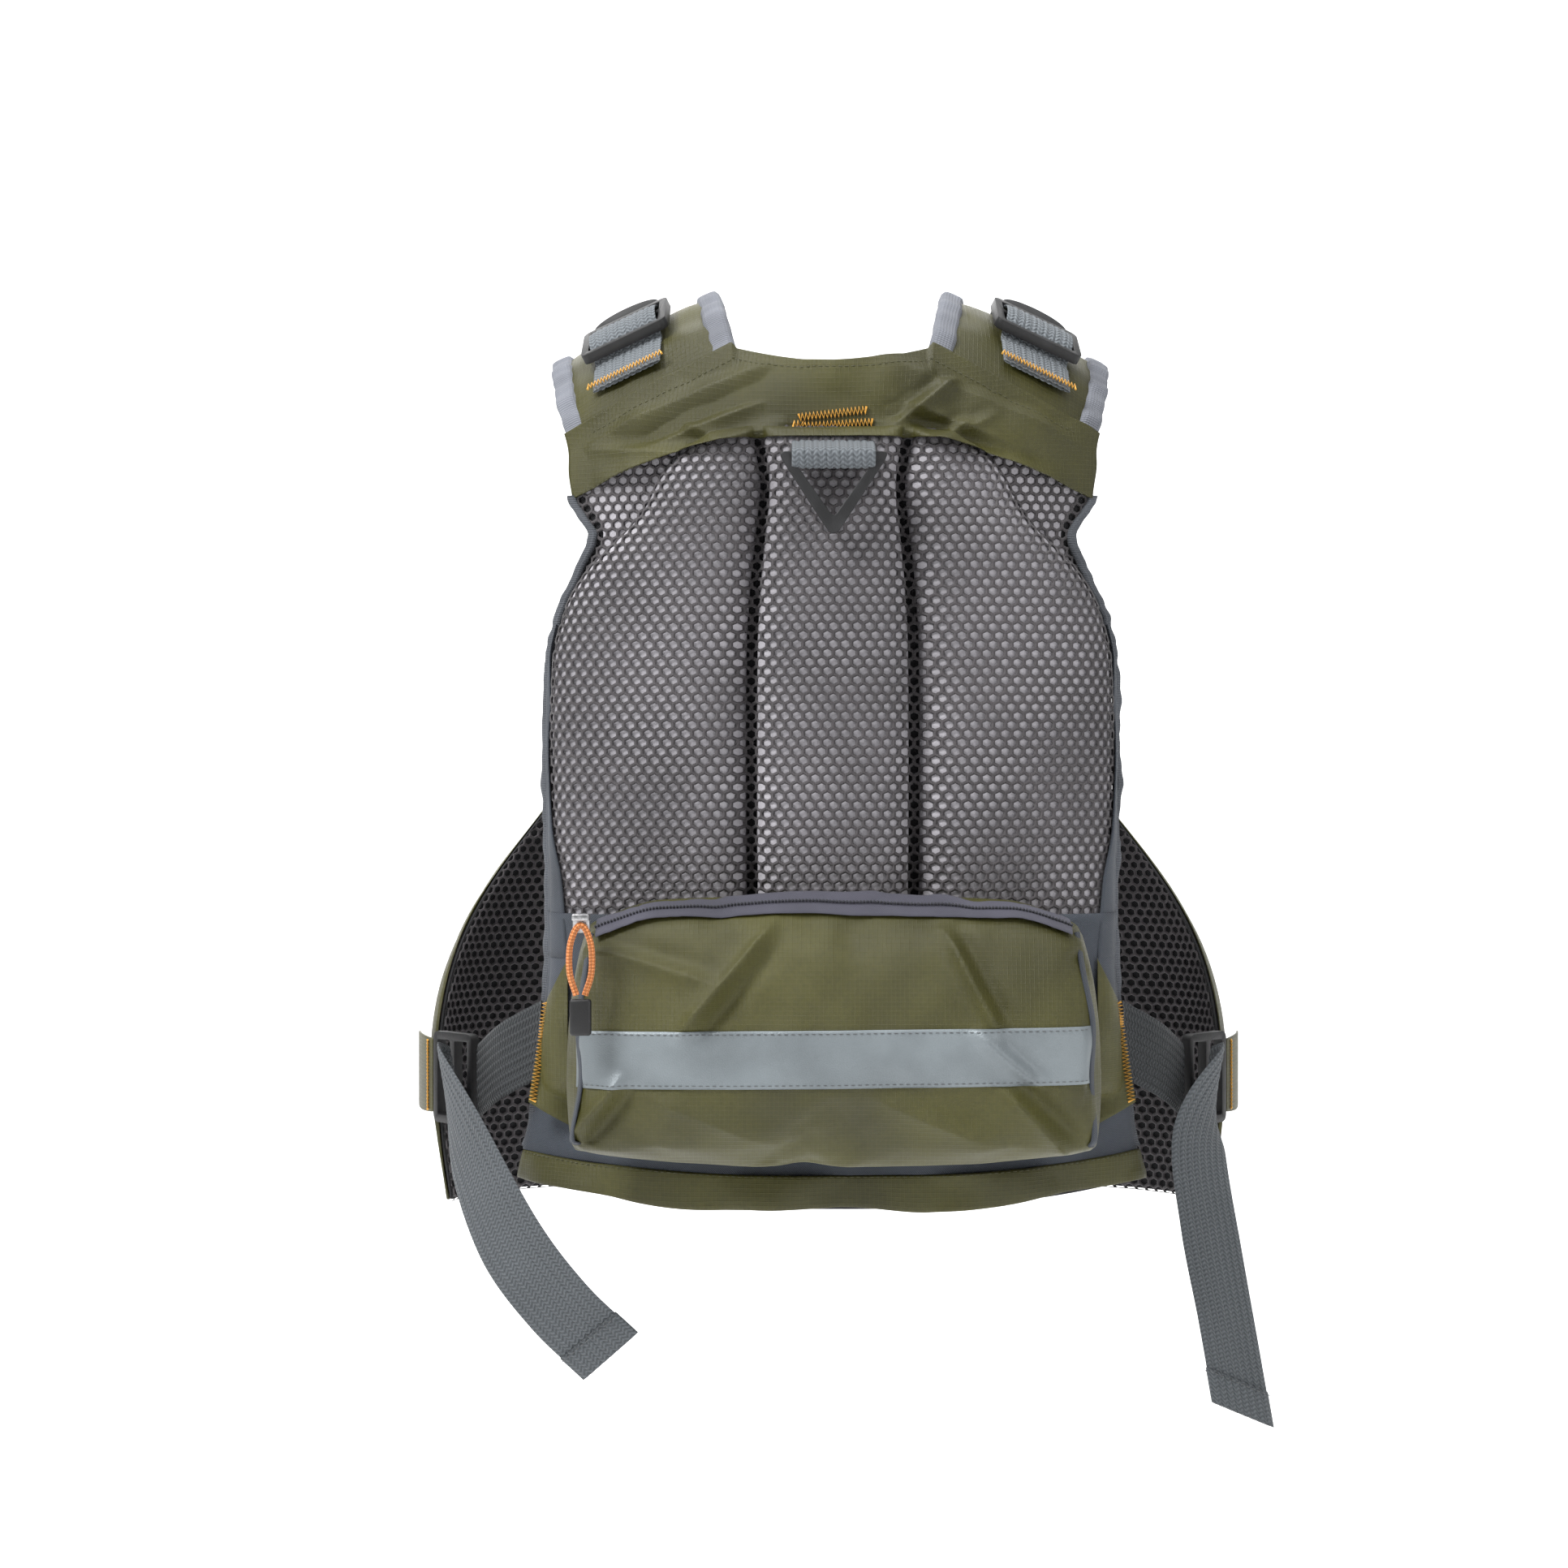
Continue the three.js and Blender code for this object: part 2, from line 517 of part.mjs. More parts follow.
// The slider's body lies on the tape, and its bail reaches out past the pouch's swell.
const sliderZ = POUCH_TOP_Z - ZIP_TAPE.bottom * pouchHeight;
const sliderBackY = pouchFace(0.5, ZIP_TAPE.bottom) + 4;
const pullY = pouchBackY + POUCH_DEPTH + 6;
function pouchSlider() {
  const profile = new THREE.Shape();
  profile.moveTo(sliderBackY, sliderZ - 4);
  profile.lineTo(sliderBackY + SLIDER.thick, sliderZ - 4);
  profile.lineTo(sliderBackY + SLIDER.thick, sliderZ + 2);
  profile.lineTo(pullY + 2, sliderZ + 2);
  profile.lineTo(pullY + 2, sliderZ + 5);
  profile.lineTo(sliderBackY, sliderZ + 5);
  const geometry = new THREE.ExtrudeGeometry(profile, { depth: SLIDER.width, bevelEnabled: false });
  const turn = new THREE.Matrix4().makeBasis(
    new THREE.Vector3(0, 1, 0),
    new THREE.Vector3(0, 0, 1),
    new THREE.Vector3(1, 0, 0),
  );
  return geometry.applyMatrix4(turn).translate(ZIP_X - SLIDER.width / 2, 0, 0);
}
add('pouch_zip_slider', pouchSlider(), STEEL);

// The cord loop hangs from the bail and ends in a moulded grip.
const LOOP_HALF = 5;
const pullTopZ = sliderZ + 2 - LAYER_GAP;
function cordLoop(x, y, top, length) {
  const side = [[2.6, 4 / length], [LOOP_HALF, 0.35], [LOOP_HALF, 0.7], [2, 1]];
  const down = side.map(([out, share]) => new THREE.Vector3(x + out, y, top - length * share));
  const up = side.map(([out, share]) => new THREE.Vector3(x - out, y, top - length * share)).reverse();
  const route = new THREE.CatmullRomCurve3([...up, new THREE.Vector3(x, y, top - CORD / 2 - 0.1), ...down]);
  const section = new THREE.Shape().absarc(0, 0, CORD / 2, 0, Math.PI * 2, false);
  return new THREE.ExtrudeGeometry(section, { steps: 24, curveSegments: 4, extrudePath: route });
}
add('pouch_pull_cord', cordLoop(ZIP_X, pullY, pullTopZ, PULL_LENGTH), ORANGE);
const tipTop = pullTopZ - PULL_LENGTH - LAYER_GAP - CORD / 2;
add('pouch_pull_end', box(ZIP_X - 5, ZIP_X + 5, pullY - 2.5, pullY + 2.5, tipTop - 17, tipTop), PLASTIC);

// ---------------------------------------------------------------- ring and its tab
const ringTopZ = -66;
const ringY = onBack(0, ringTopZ - RING_HEIGHT / 2, backOuter).y + 3;
const tabY = ringY;
const tabLayer = (lift) => [-52, -58, ringTopZ + 1].map((z, k) => span(-TAB_HALF, TAB_HALF, 2).map((x) => {
  const base = k === 2 ? tabY : lerp(onBack(0, -45, meshTop(0, MIDDLE) + 4).y, tabY, k / 2);
  return new THREE.Vector3(x, base + lift, z);
}));
add('ring_tab', slab(tabLayer(0), tabLayer(WEBBING_THICK)), WEBBING);

function triangleRing() {
  const half = RING_WIDTH / 2;
  const outline = (inset) => {
    const w = half - inset * 1.9;
    const low = -RING_HEIGHT + inset * 2.2;
    const r = inset > 0 ? 2 : 4;
    const path = inset > 0 ? new THREE.Path() : new THREE.Shape();
    path.moveTo(0, -inset);
    path.lineTo(-w + r, -inset);
    path.quadraticCurveTo(-w, -inset, -w + r * 0.6, -inset - r);
    path.lineTo(-r * 0.7, low + r * 0.6);
    path.quadraticCurveTo(0, low - r * 0.2, r * 0.7, low + r * 0.6);
    path.lineTo(w - r * 0.6, -inset - r);
    path.quadraticCurveTo(w, -inset, w - r, -inset);
    return path;
  };
  const shape = outline(0);
  shape.holes.push(outline(RING_BAR));
  return new THREE.ExtrudeGeometry(shape, { depth: RING_THICK, bevelEnabled: false, curveSegments: 3 });
}
const ring = triangleRing();
ring.rotateX(Math.PI / 2);
ring.translate(0, ringY + RING_THICK + 0.4, ringTopZ - 0.4);
add('triangle_ring', ring, PLASTIC);

// ---------------------------------------------------------------- both sides
const BUCKLE = new THREE.Vector3(192, 30, -376); // middle of a side ladder-lock
const STRAP_ALONG = new THREE.Vector3(0.62, -0.785, 0).normalize(); // forwards round the side
const STRAP_OUT = new THREE.Vector3(0.785, 0.62, 0).normalize();
const TAIL_ROUTE = {
  left: [[180, 78, -410], [158, 100, -450], [134, 108, -480], [109, 108, -504]],
  right: [[184, 74, -406], [188, 86, -450], [196, 90, -496], [203, 90, -536]],
};
const TAIL_WIDTH_DIRECTION = {
  left: [[0.1, 0.35, 0.93], [-0.45, 0.4, 0.8], [-0.7, 0.3, 0.65], [-0.72, 0.3, 0.62], [-0.7, 0.3, 0.65]],
  right: [[0.1, 0.35, 0.93], [-0.6, 0.5, 0.6], [-0.85, 0.4, 0.35], [-0.84, 0.4, 0.38], [-0.84, 0.38, 0.4]],
};

function tailLayers(which) {
  const curve = (list) => new THREE.CatmullRomCurve3(list.map((p) => new THREE.Vector3(...p)));
  const start = BUCKLE.clone().addScaledVector(STRAP_OUT, TAIL_CLEAR);
  start.addScaledVector(STRAP_ALONG, -TAIL_BEHIND);
  const route = curve([start.toArray(), ...TAIL_ROUTE[which]]);
  const turn = curve(TAIL_WIDTH_DIRECTION[which]);
  const steps = span(0, 1, 12);
  const layer = (lift) => steps.map((s) => {
    const width = turn.getPoint(s).normalize();
    const normal = new THREE.Vector3().crossVectors(route.getTangent(s), width).normalize();
    return [-1, 0, 1].map((w) => {
      const p = route.getPoint(s).addScaledVector(normal, lift);
      return p.addScaledVector(width, (w * WEBBING_WIDTH) / 2);
    });
  });
  return [layer(0), layer(WEBBING_THICK)];
}

SIDES.forEach(([name, side]) => {
  const sewn = (layers) => slab(mirrored(layers[0], side), mirrored(layers[1], side));
  const flip = (geometry) => geometry.applyMatrix4(new THREE.Matrix4().makeScale(side, 1, 1));
  const handed = (geometry) => {
    if (side > 0) return geometry;
    const index = geometry.index;
    const flipped = flip(geometry);
    if (index) {
      for (let k = 0; k < index.count; k += 3) {
        const a = index.getX(k);
        index.setX(k, index.getX(k + 1));
        index.setX(k + 1, a);
      }
      return flipped;
    }
    const position = flipped.attributes.position;
    const corner = (k) => new THREE.Vector3().fromBufferAttribute(position, k);
    for (let k = 0; k < position.count; k += 3) {
      const a = corner(k);
      const b = corner(k + 1);
      position.setXYZ(k, b.x, b.y, b.z);
      position.setXYZ(k + 1, a.x, a.y, a.z);
    }
    return flipped;
  };

  add(`armhole_binding_${name}`, sewn(armholeBinding()), BINDING);
  add(`shoulder_pad_${name}`, sewn(padLayers()), OLIVE);

  const frontAngle = -angleAt(STRAP_X, FRONT_TOP_Z) - 0.1;
  add(`shoulder_web_${name}`, sewn(shoulderWeb(LOCK_ANGLE - lockReach, frontAngle, 10, WEB_LIFT)), WEBBING);
  add(`yoke_web_${name}`, sewn(shoulderWeb(YOKE_WEB_ANGLE, LOCK_ANGLE + lockReach, 3, WEB_LIFT)), WEBBING);
  const frame = shoulderFrame(STRAP_X, LOCK_ANGLE);
  const centre = offShoulder(STRAP_X, LOCK_ANGLE, LOCK_LIFT);
  const lock = placed(ladderLock(), frame.across, frame.along, centre);
  add(`shoulder_lock_${name}`, handed(lock), PLASTIC);

  // Side straps: olive wing, webbing round the side, ladder-lock on the front half, loose tail.
  const wingMiddle = (WING_TOP_Z + WING_BOTTOM_Z) / 2;
  const wingEdgeY = backHeight(WING_EDGE.x, wingMiddle) + WING_EDGE.lift;
  const wingLayer = (lift) => [WING_TOP_Z, wingMiddle, WING_BOTTOM_Z].map((z, k) => {
    const inner = onBack(WING_ROOT_X, z, WING_LIFT);
    const reach = WING_OUT_X - (k === 2 ? 3 : 0);
    const outer = new THREE.Vector3(reach, wingEdgeY, k === 0 ? z - 8 : z);
    return [0, 0.5, 1].map((s) => inner.clone().lerp(outer, s).add(new THREE.Vector3(0, lift, 0)));
  });
  add(`back_wing_${name}`, sewn([wingLayer(0), wingLayer(FABRIC)]), OLIVE);

  const webStart = new THREE.Vector3(WING_OUT_X + 1.5, wingEdgeY, wingMiddle - 2);
  const webEnd = BUCKLE.clone().addScaledVector(STRAP_ALONG, -LOCK_LENGTH / 2 - 3);
  const webRoute = new THREE.CatmullRomCurve3([
    webStart,
    webStart.clone().lerp(webEnd, 0.5).addScaledVector(STRAP_OUT, 5),
    webEnd,
  ]);
  const webLayer = (lift) => span(0, 1, 6).map((s) => {
    const p = webRoute.getPoint(s);
    const out = new THREE.Vector3().crossVectors(webRoute.getTangent(s), UP).normalize();
    p.addScaledVector(out, -lift);
    return [1, 0, -1].map((w) => p.clone().addScaledVector(UP, (w * WEBBING_WIDTH) / 2));
  });
  add(`side_web_${name}`, sewn([webLayer(0), webLayer(WEBBING_THICK)]), WEBBING);
  add(`strap_tail_${name}`, sewn(tailLayers(name)), WEBBING);

  // The front half.
  const whole = [0, FRONT_LAST, 0, FRONT_END];
  const padded = [FRONT_FOAM_START, FRONT_FOAM_END, 1, FRONT_END - 1];
  add(`front_lining_${name}`, sewn(frontLayers(...whole, () => 0, () => FABRIC)), MESH);
  add(`front_foam_${name}`, sewn(frontLayers(...padded, () => foamBottom, frontFoamTop)), FOAM);
  add(`front_shell_${name}`, sewn(frontLayers(...whole, frontShellBottom, frontShellTop)), OLIVE);

  add(`chest_pocket_${name}`, sewn(pocket(CHEST_POCKET, 0)), OLIVE);
  add(`lower_pocket_${name}`, sewn(pocket(LOWER_POCKET, POCKET_SLOPE)), OLIVE);

  const flapY = frontFaceY - CHEST_POCKET.depth - LAYER_GAP - 0.4;
  const flapTop = CHEST_POCKET.top + 4;
  const flapX = [CHEST_POCKET.x0 - 2, CHEST_POCKET.x1 + 2];
  const flap = box(...flapX, flapY - FLAP_THICK, flapY, flapTop - 4 - FLAP_HEIGHT, flapTop);
  add(`chest_flap_${name}`, handed(flap), OLIVE);

  const zipY = -CHEST_HALF_DEPTH - FABRIC;
  const tape = box(0.4, FRONT_EDGE_X - 0.6, zipY - 1.2, zipY + 1.2, FRONT_BOTTOM_Z + 2, FRONT_ZIP_TOP_Z - 1);
  add(`front_zip_${name}`, handed(tape), SLATE);

  const slide = POCKET_SLIDER;
  const slideX = LOWER_POCKET.x1 - slide.inset;
  const slideY = frontFaceY - LOWER_POCKET.depth + POCKET_SLOPE * (slideX - LOWER_POCKET.x0) - 1;
  const slideZ = LOWER_POCKET.top - slide.top;
  const slideBox = [slideX, slideX + slide.width, slideY - slide.thick, slideY];
  const slider = box(...slideBox, slideZ - slide.height, slideZ);
  add(`lower_pocket_slider_${name}`, handed(slider), STEEL);

  const sideLock = placed(ladderLock(), new THREE.Vector3(0, 0, 1), STRAP_ALONG, BUCKLE);
  add(`side_lock_${name}`, handed(sideLock), PLASTIC);

  // The olive tab on the front half that holds the ladder-lock.
  const tabStart = frontPoint(10, FRONT_END, 4);
  const tabEnd = BUCKLE.clone().addScaledVector(STRAP_ALONG, LOCK_LENGTH / 2 + 3);
  const wingTab = (lift) => [20, 0, -20].map((rise) => [
    new THREE.Vector3(tabStart.x + 8 + lift, -30, BUCKLE.z + rise),
    new THREE.Vector3(tabStart.x + 4 + lift, -4, BUCKLE.z + rise),
    tabEnd.clone().addScaledVector(STRAP_OUT, lift).add(new THREE.Vector3(0, 0, rise * 0.95)),
  ]);
  add(`front_wing_${name}`, sewn([wingTab(0), wingTab(FABRIC)]), OLIVE);
});

// ---------------------------------------------------------------- front zip slider
const parkZ = FRONT_BOTTOM_Z + 8;
const chainFaceY = -CHEST_HALF_DEPTH - FABRIC - 1.2;
const sliderX = 0.8;
const sliderY = [chainFaceY - 0.6 - SLIDER.thick - 0.4, chainFaceY - 0.6];
const frontSlider = box(sliderX, sliderX + SLIDER.width, ...sliderY, parkZ, parkZ + SLIDER.length);
add('front_zip_slider', frontSlider, STEEL);
const pullX = sliderX + (SLIDER.width - FRONT_PULL.width) / 2;
const frontPullY = sliderY[0] - 0.6;
const frontPullZ = parkZ + 8;
const frontPull = box(
  pullX,
  pullX + FRONT_PULL.width,
  frontPullY - FRONT_PULL.thick,
  frontPullY,
  frontPullZ - FRONT_PULL.length,
  frontPullZ,
);
add('front_zip_pull', frontPull, PLASTIC);

export default vest;
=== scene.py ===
"""Fishing vest: cloth, foam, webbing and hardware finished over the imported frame."""

import math

import bmesh
import bpy
import numpy as np
from bpy.props import FloatProperty, FloatVectorProperty, IntProperty, PointerProperty
from mathutils import Matrix, Vector, noise
from mathutils.bvhtree import BVHTree


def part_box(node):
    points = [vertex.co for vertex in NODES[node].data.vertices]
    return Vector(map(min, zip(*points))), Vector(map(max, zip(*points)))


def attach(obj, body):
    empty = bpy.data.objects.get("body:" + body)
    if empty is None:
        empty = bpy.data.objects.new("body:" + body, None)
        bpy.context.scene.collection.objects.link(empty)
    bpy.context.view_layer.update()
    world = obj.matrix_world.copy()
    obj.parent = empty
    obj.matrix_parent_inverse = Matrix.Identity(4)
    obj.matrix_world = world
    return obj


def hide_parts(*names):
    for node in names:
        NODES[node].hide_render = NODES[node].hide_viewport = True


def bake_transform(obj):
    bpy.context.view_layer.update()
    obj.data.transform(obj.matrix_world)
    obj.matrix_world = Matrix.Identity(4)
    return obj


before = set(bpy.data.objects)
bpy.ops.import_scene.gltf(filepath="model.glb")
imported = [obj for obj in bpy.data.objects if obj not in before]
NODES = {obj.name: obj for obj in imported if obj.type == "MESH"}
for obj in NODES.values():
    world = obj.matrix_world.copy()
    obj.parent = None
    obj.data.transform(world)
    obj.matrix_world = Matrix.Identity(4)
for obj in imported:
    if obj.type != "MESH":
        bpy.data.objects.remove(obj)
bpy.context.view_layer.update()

bl_info = {
    "name": "Fishing vest",
    "version": (1, 0, 0),
    "blender": (4, 5, 0),
    "location": "View3D > Sidebar > Vest",
    "description": "Builds a foam-backed fishing vest piece by piece",
    "category": "Object",
}

SIDES = (("left", 1), ("right", -1))
UP = Vector((0, 0, 1))
RIGHT = Vector((1, 0, 0))
BACKWARD = Vector((0, 1, 0))


# ------------------------------------------------------------------ settings
class VestSizes(bpy.types.PropertyGroup):
    net_pitch: FloatProperty(name="Net pitch", description="Distance between two holes of the net, side by side", default=0.0056, unit="LENGTH")
    net_row: FloatProperty(name="Net row", description="Distance between two rows of holes", default=0.0043, unit="LENGTH")
    net_hole: FloatProperty(name="Net hole", description="Share of a cell that the hole takes", default=0.66, subtype="FACTOR")
    net_thread: FloatProperty(name="Net thread", description="Half thickness of the net's threads", default=0.00055, unit="LENGTH")
    web_ribs: IntProperty(name="Webbing ribs", description="Lengthwise ribs across a strap", default=8)
    rib_height: FloatProperty(name="Rib height", description="How far a rib stands proud", default=0.0006, unit="LENGTH")
    stitch_pitch: FloatProperty(name="Stitch pitch", description="Length of one stitch and its gap", default=0.0032, unit="LENGTH")
    tack_pitch: FloatProperty(name="Bartack pitch", description="Distance between two zigzags of a bartack", default=0.0009, unit="LENGTH")
    tooth_pitch: FloatProperty(name="Tooth pitch", description="Distance between two zip teeth", default=0.0016, unit="LENGTH")
    fold_height: FloatProperty(name="Fold height", description="Height of the largest folds in the cloth", default=0.0062, unit="LENGTH")


class VestColours(bpy.types.PropertyGroup):
    olive: FloatVectorProperty(name="Olive", description="Ripstop cloth", default=(0.053, 0.050, 0.0070), subtype="COLOR")
    slate: FloatVectorProperty(name="Slate", description="Plain nylon panels", default=(0.042, 0.050, 0.064), subtype="COLOR")
    net: FloatVectorProperty(name="Net", description="Threads of the spacer net", default=(0.070, 0.064, 0.068), subtype="COLOR")
    foam: FloatVectorProperty(name="Foam", description="Foam behind the net", default=(0.43, 0.415, 0.445), subtype="COLOR")
    webbing: FloatVectorProperty(name="Webbing", description="Grey straps", default=(0.098, 0.109, 0.119), subtype="COLOR")
    thread: FloatVectorProperty(name="Thread", description="Contrast stitching", default=(1.0, 0.50, 0.06), subtype="COLOR")
    cord: FloatVectorProperty(name="Cord", description="Zip-pull cord", default=(0.87, 0.27, 0.06), subtype="COLOR")
    tape: FloatVectorProperty(name="Reflective tape", description="Silver tape on the pouch", default=(0.205, 0.234, 0.250), subtype="COLOR")


def sizes():
    return bpy.context.scene.vest_sizes


def colours():
    return bpy.context.scene.vest_colours


# ------------------------------------------------------------------ node trees
class Wire:
    """An output socket that reads like a number or a vector."""

    def __init__(self, board, socket):
        self.board = board
        self.socket = socket

    def _pair(self, operation, first, second):
        vector = any(isinstance(x, Wire) and x.socket.type in ("VECTOR", "RGBA") for x in (first, second))
        kind = "ShaderNodeVectorMath" if vector else "ShaderNodeMath"
        return self.board.add(kind, {"operation": operation}, {0: first, 1: second})

    def __add__(self, other):
        return self._pair("ADD", self, other)

    def __radd__(self, other):
        return self._pair("ADD", other, self)

    def __sub__(self, other):
        return self._pair("SUBTRACT", self, other)

    def __rsub__(self, other):
        return self._pair("SUBTRACT", other, self)

    def __mul__(self, other):
        return self._pair("MULTIPLY", self, other)

    def __rmul__(self, other):
        return self._pair("MULTIPLY", other, self)

    def __truediv__(self, other):
        return self._pair("DIVIDE", self, other)

    def sine(self):
        return self.board.add("ShaderNodeMath", {"operation": "SINE"}, {0: self})

    def power(self, exponent):
        return self.board.add("ShaderNodeMath", {"operation": "POWER"}, {0: self, 1: exponent})

    def over(self, low, high):
        """0 below low, 1 above high, and smooth between them."""
        settings = {"interpolation_type": "SMOOTHSTEP"}
        return self.board.add("ShaderNodeMapRange", settings, {"Value": self, "From Min": low, "From Max": high})

    def part(self, index):
        split = self.board.make("ShaderNodeSeparateXYZ", {}, {0: self})
        return Wire(self.board, split.outputs[index])


class Board:
    """A node tree that is built up node by node."""

    def __init__(self, tree):
        self.tree = tree

    def make(self, kind, settings, inputs):
        node = self.tree.nodes.new(kind)
        for key, value in settings.items():
            setattr(node, key, value)
        for key, value in inputs.items():
            socket = node.inputs[key]
            if isinstance(value, Wire):
                self.tree.links.new(value.socket, socket)
            elif socket.type in ("VECTOR", "RGBA") and isinstance(value, (int, float)):
                socket.default_value = (value,) * len(socket.default_value)
            elif socket.type == "RGBA":
                socket.default_value = (*tuple(value)[:3], 1.0)
            else:
                socket.default_value = value
        return node

    def add(self, kind, settings=None, inputs=None, out=0):
        node = self.make(kind, settings or {}, inputs or {})
        return Wire(self, node.outputs[out])

    def mix(self, factor, first, second):
        node = self.make("ShaderNodeMix", {"data_type": "RGBA"}, {})
        for index, value in ((0, factor), (6, first), (7, second)):
            if isinstance(value, Wire):
                self.tree.links.new(value.socket, node.inputs[index])
            elif index == 0:
                node.inputs[index].default_value = value
            else:
                node.inputs[index].default_value = (*tuple(value)[:3], 1.0)
        return Wire(self, node.outputs[2])


MATERIALS = {}


def surface(name, slot, build, **fixed):
    """A Principled material; build(board, uv, place) returns the varying inputs and a height for the bump."""
    if name in MATERIALS:
        return MATERIALS[name]
    material = bpy.data.materials.new(name)
    material.use_nodes = True
    board = Board(material.node_tree)
    shader = material.node_tree.nodes["Principled BSDF"]
    coordinates = board.make("ShaderNodeTexCoord", {}, {})
    uv = Wire(board, coordinates.outputs["UV"])
    place = Wire(board, coordinates.outputs["Object"])
    varying, height, distance = build(board, uv, place)
    for key, value in fixed.items():
        shader.inputs[key.replace("_", " ")].default_value = value
    for key, value in varying.items():
        if isinstance(value, Wire):
            board.tree.links.new(value.socket, shader.inputs[key])
        else:
            shader.inputs[key].default_value = value
    if height is not None:
        bump = board.add("ShaderNodeBump", {}, {"Height": height, "Distance": distance, "Strength": 0.8})
        board.tree.links.new(bump.socket, shader.inputs["Normal"])
    MATERIALS[name] = material
    material["finish"] = slot
    return material


def shades(colour, low, high):
    return tuple(c * low for c in colour), tuple(c * high for c in colour)


def cloudiness(board, place, scale, detail=3.0):
    return board.add("ShaderNodeTexNoise", {}, {"Vector": place, "Scale": scale, "Detail": detail})


def ripstop(name, colour, grid=0.0021, slot="olive_ripstop"):
    def build(board, uv, place):
        across = (uv.part(0) * (math.pi / grid)).sine()
        down = (uv.part(1) * (math.pi / grid)).sine()
        lines = (across * across).over(0.86, 0.99) + (down * down).over(0.86, 0.99)
        weave = (uv.part(0) * (2 * math.pi / 0.0007)).sine() * (uv.part(1) * (2 * math.pi / 0.0007)).sine()
        # Large clouds move the olive between a darker and a lighter shade: partly random tone, partly painted sheen on
        # the folds.
        clouds = cloudiness(board, place, 14)
        fine = cloudiness(board, place, 420, 2)
        dark, light = shades(colour, 0.72, 1.35)
        base = board.mix(clouds.over(0.3, 0.72), dark, light)
        base = board.mix(lines * 0.12, base, shades(colour, 1.0, 1.9)[1])
        base = board.mix(fine.over(0.35, 0.75) * 0.2, base, shades(colour, 0.45, 1)[0])
        rough = 0.41 + clouds * 0.14 - lines * 0.04
        return {"Base Color": base, "Roughness": rough}, lines * 0.3 + weave * 0.2 + fine * 0.25, 0.00035

    return surface(name, slot, build, Sheen_Weight=0.03, Sheen_Roughness=0.35, Specular_IOR_Level=0.5)


def plain_weave(name, colour, pitch=0.0011, slot="slate_nylon", rough=0.55):
    def build(board, uv, place):
        weave = (uv.part(0) * (2 * math.pi / pitch)).sine() * (uv.part(1) * (2 * math.pi / pitch)).sine()
        clouds = cloudiness(board, place, 20)
        fine = cloudiness(board, place, 600, 2)
        dark, light = shades(colour, 0.78, 1.25)
        base = board.mix(clouds.over(0.3, 0.72), dark, light)
        base = board.mix(weave.over(-0.2, 0.9) * 0.22, base, shades(colour, 1, 1.7)[1])
        return {"Base Color": base, "Roughness": rough + fine * 0.15}, weave * 0.6 + fine * 0.3, 0.0003

    return surface(name, slot, build, Sheen_Weight=0.07, Specular_IOR_Level=0.4)


def strap_weave(name, colour, slot="webbing"):
    """Herringbone webbing: u runs across the strap and v along it."""

    def build(board, uv, place):
        u = uv.part(0)
        v = uv.part(1)
        zig = (u * (2 * math.pi / 0.0046)).sine()
        bone = ((v * (2 * math.pi / 0.0022)) + zig * 2.2).sine()
        rib = (u * (2 * math.pi / 0.0023)).sine()
        clouds = cloudiness(board, place, 30)
        fine = cloudiness(board, place, 900, 2)
        dark, light = shades(colour, 0.62, 1.4)
        base = board.mix(bone.over(-0.9, 0.9) * 0.55 + clouds * 0.35, dark, light)
        base = board.mix(rib.over(-1.0, -0.4) * -0.3 + 0.3, base, shades(colour, 0.4, 1)[0])
        return {"Base Color": base, "Roughness": 0.62 + fine * 0.2}, bone * 0.5 + rib * 0.4 + fine * 0.3, 0.0005

    return surface(name, slot, build, Sheen_Weight=0.1, Specular_IOR_Level=0.35)


def knit(name, colour, slot="spacer_mesh", rough=0.7):
    def build(board, uv, place):
        strands = board.add("ShaderNodeTexWave", {"wave_type": "BANDS"}, {"Vector": place, "Scale": 520, "Distortion": 6.0})
        clouds = cloudiness(board, place, 18)
        dark, light = shades(colour, 0.7, 1.45)
        base = board.mix(clouds.over(0.3, 0.7) * 0.5 + strands * 0.5, dark, light)
        return {"Base Color": base, "Roughness": rough + clouds * 0.12}, strands, 0.0002

    return surface(name, slot, build, Sheen_Weight=0.1, Specular_IOR_Level=0.4)


def cell_foam(name, colour):
    def build(board, uv, place):
        cells = board.add("ShaderNodeTexVoronoi", {}, {"Vector": place, "Scale": 900})
        clouds = cloudiness(board, place, 16)
        dark, light = shades(colour, 0.72, 1.15)
        base = board.mix(clouds.over(0.3, 0.7), dark, light)
        return {"Base Color": base, "Roughness": 0.75 + clouds * 0.15}, cells, 0.0003

    return surface(name, "buoyancy_foam", build, Specular_IOR_Level=0.35)


def taped(name, colour, slot="binding_tape"):
    """Binding tape with a fine cross rib; v runs along the tape."""

    def build(board, uv, place):
        rib = (uv.part(1) * (2 * math.pi / 0.0012)).sine()
        edge = (uv.part(0) * (2 * math.pi / 0.0016)).sine()
        clouds = cloudiness(board, place, 40)
        dark, light = shades(colour, 0.75, 1.35)
        base = board.mix(clouds.over(0.25, 0.75) * 0.6 + rib.over(-0.8, 0.9) * 0.4, dark, light)
        return {"Base Color": base, "Roughness": 0.68 + clouds * 0.15}, rib * 0.6 + edge * 0.3, 0.0003

    return surface(name, slot, build, Sheen_Weight=0.1, Specular_IOR_Level=0.35)


def silver_tape(name, colour):
    def build(board, uv, place):
        beads = board.add("ShaderNodeTexVoronoi", {}, {"Vector": place, "Scale": 1600})
        clouds = cloudiness(board, place, 26)
        dark, light = shades(colour, 0.86, 1.14)
        base = board.mix(clouds.over(0.3, 0.7), dark, light)
        return {"Base Color": base, "Roughness": 0.36 + clouds * 0.16}, beads + clouds * 2, 0.00012

    return surface(name, "reflective_tape", build, Metallic=0.25, Specular_IOR_Level=0.55)


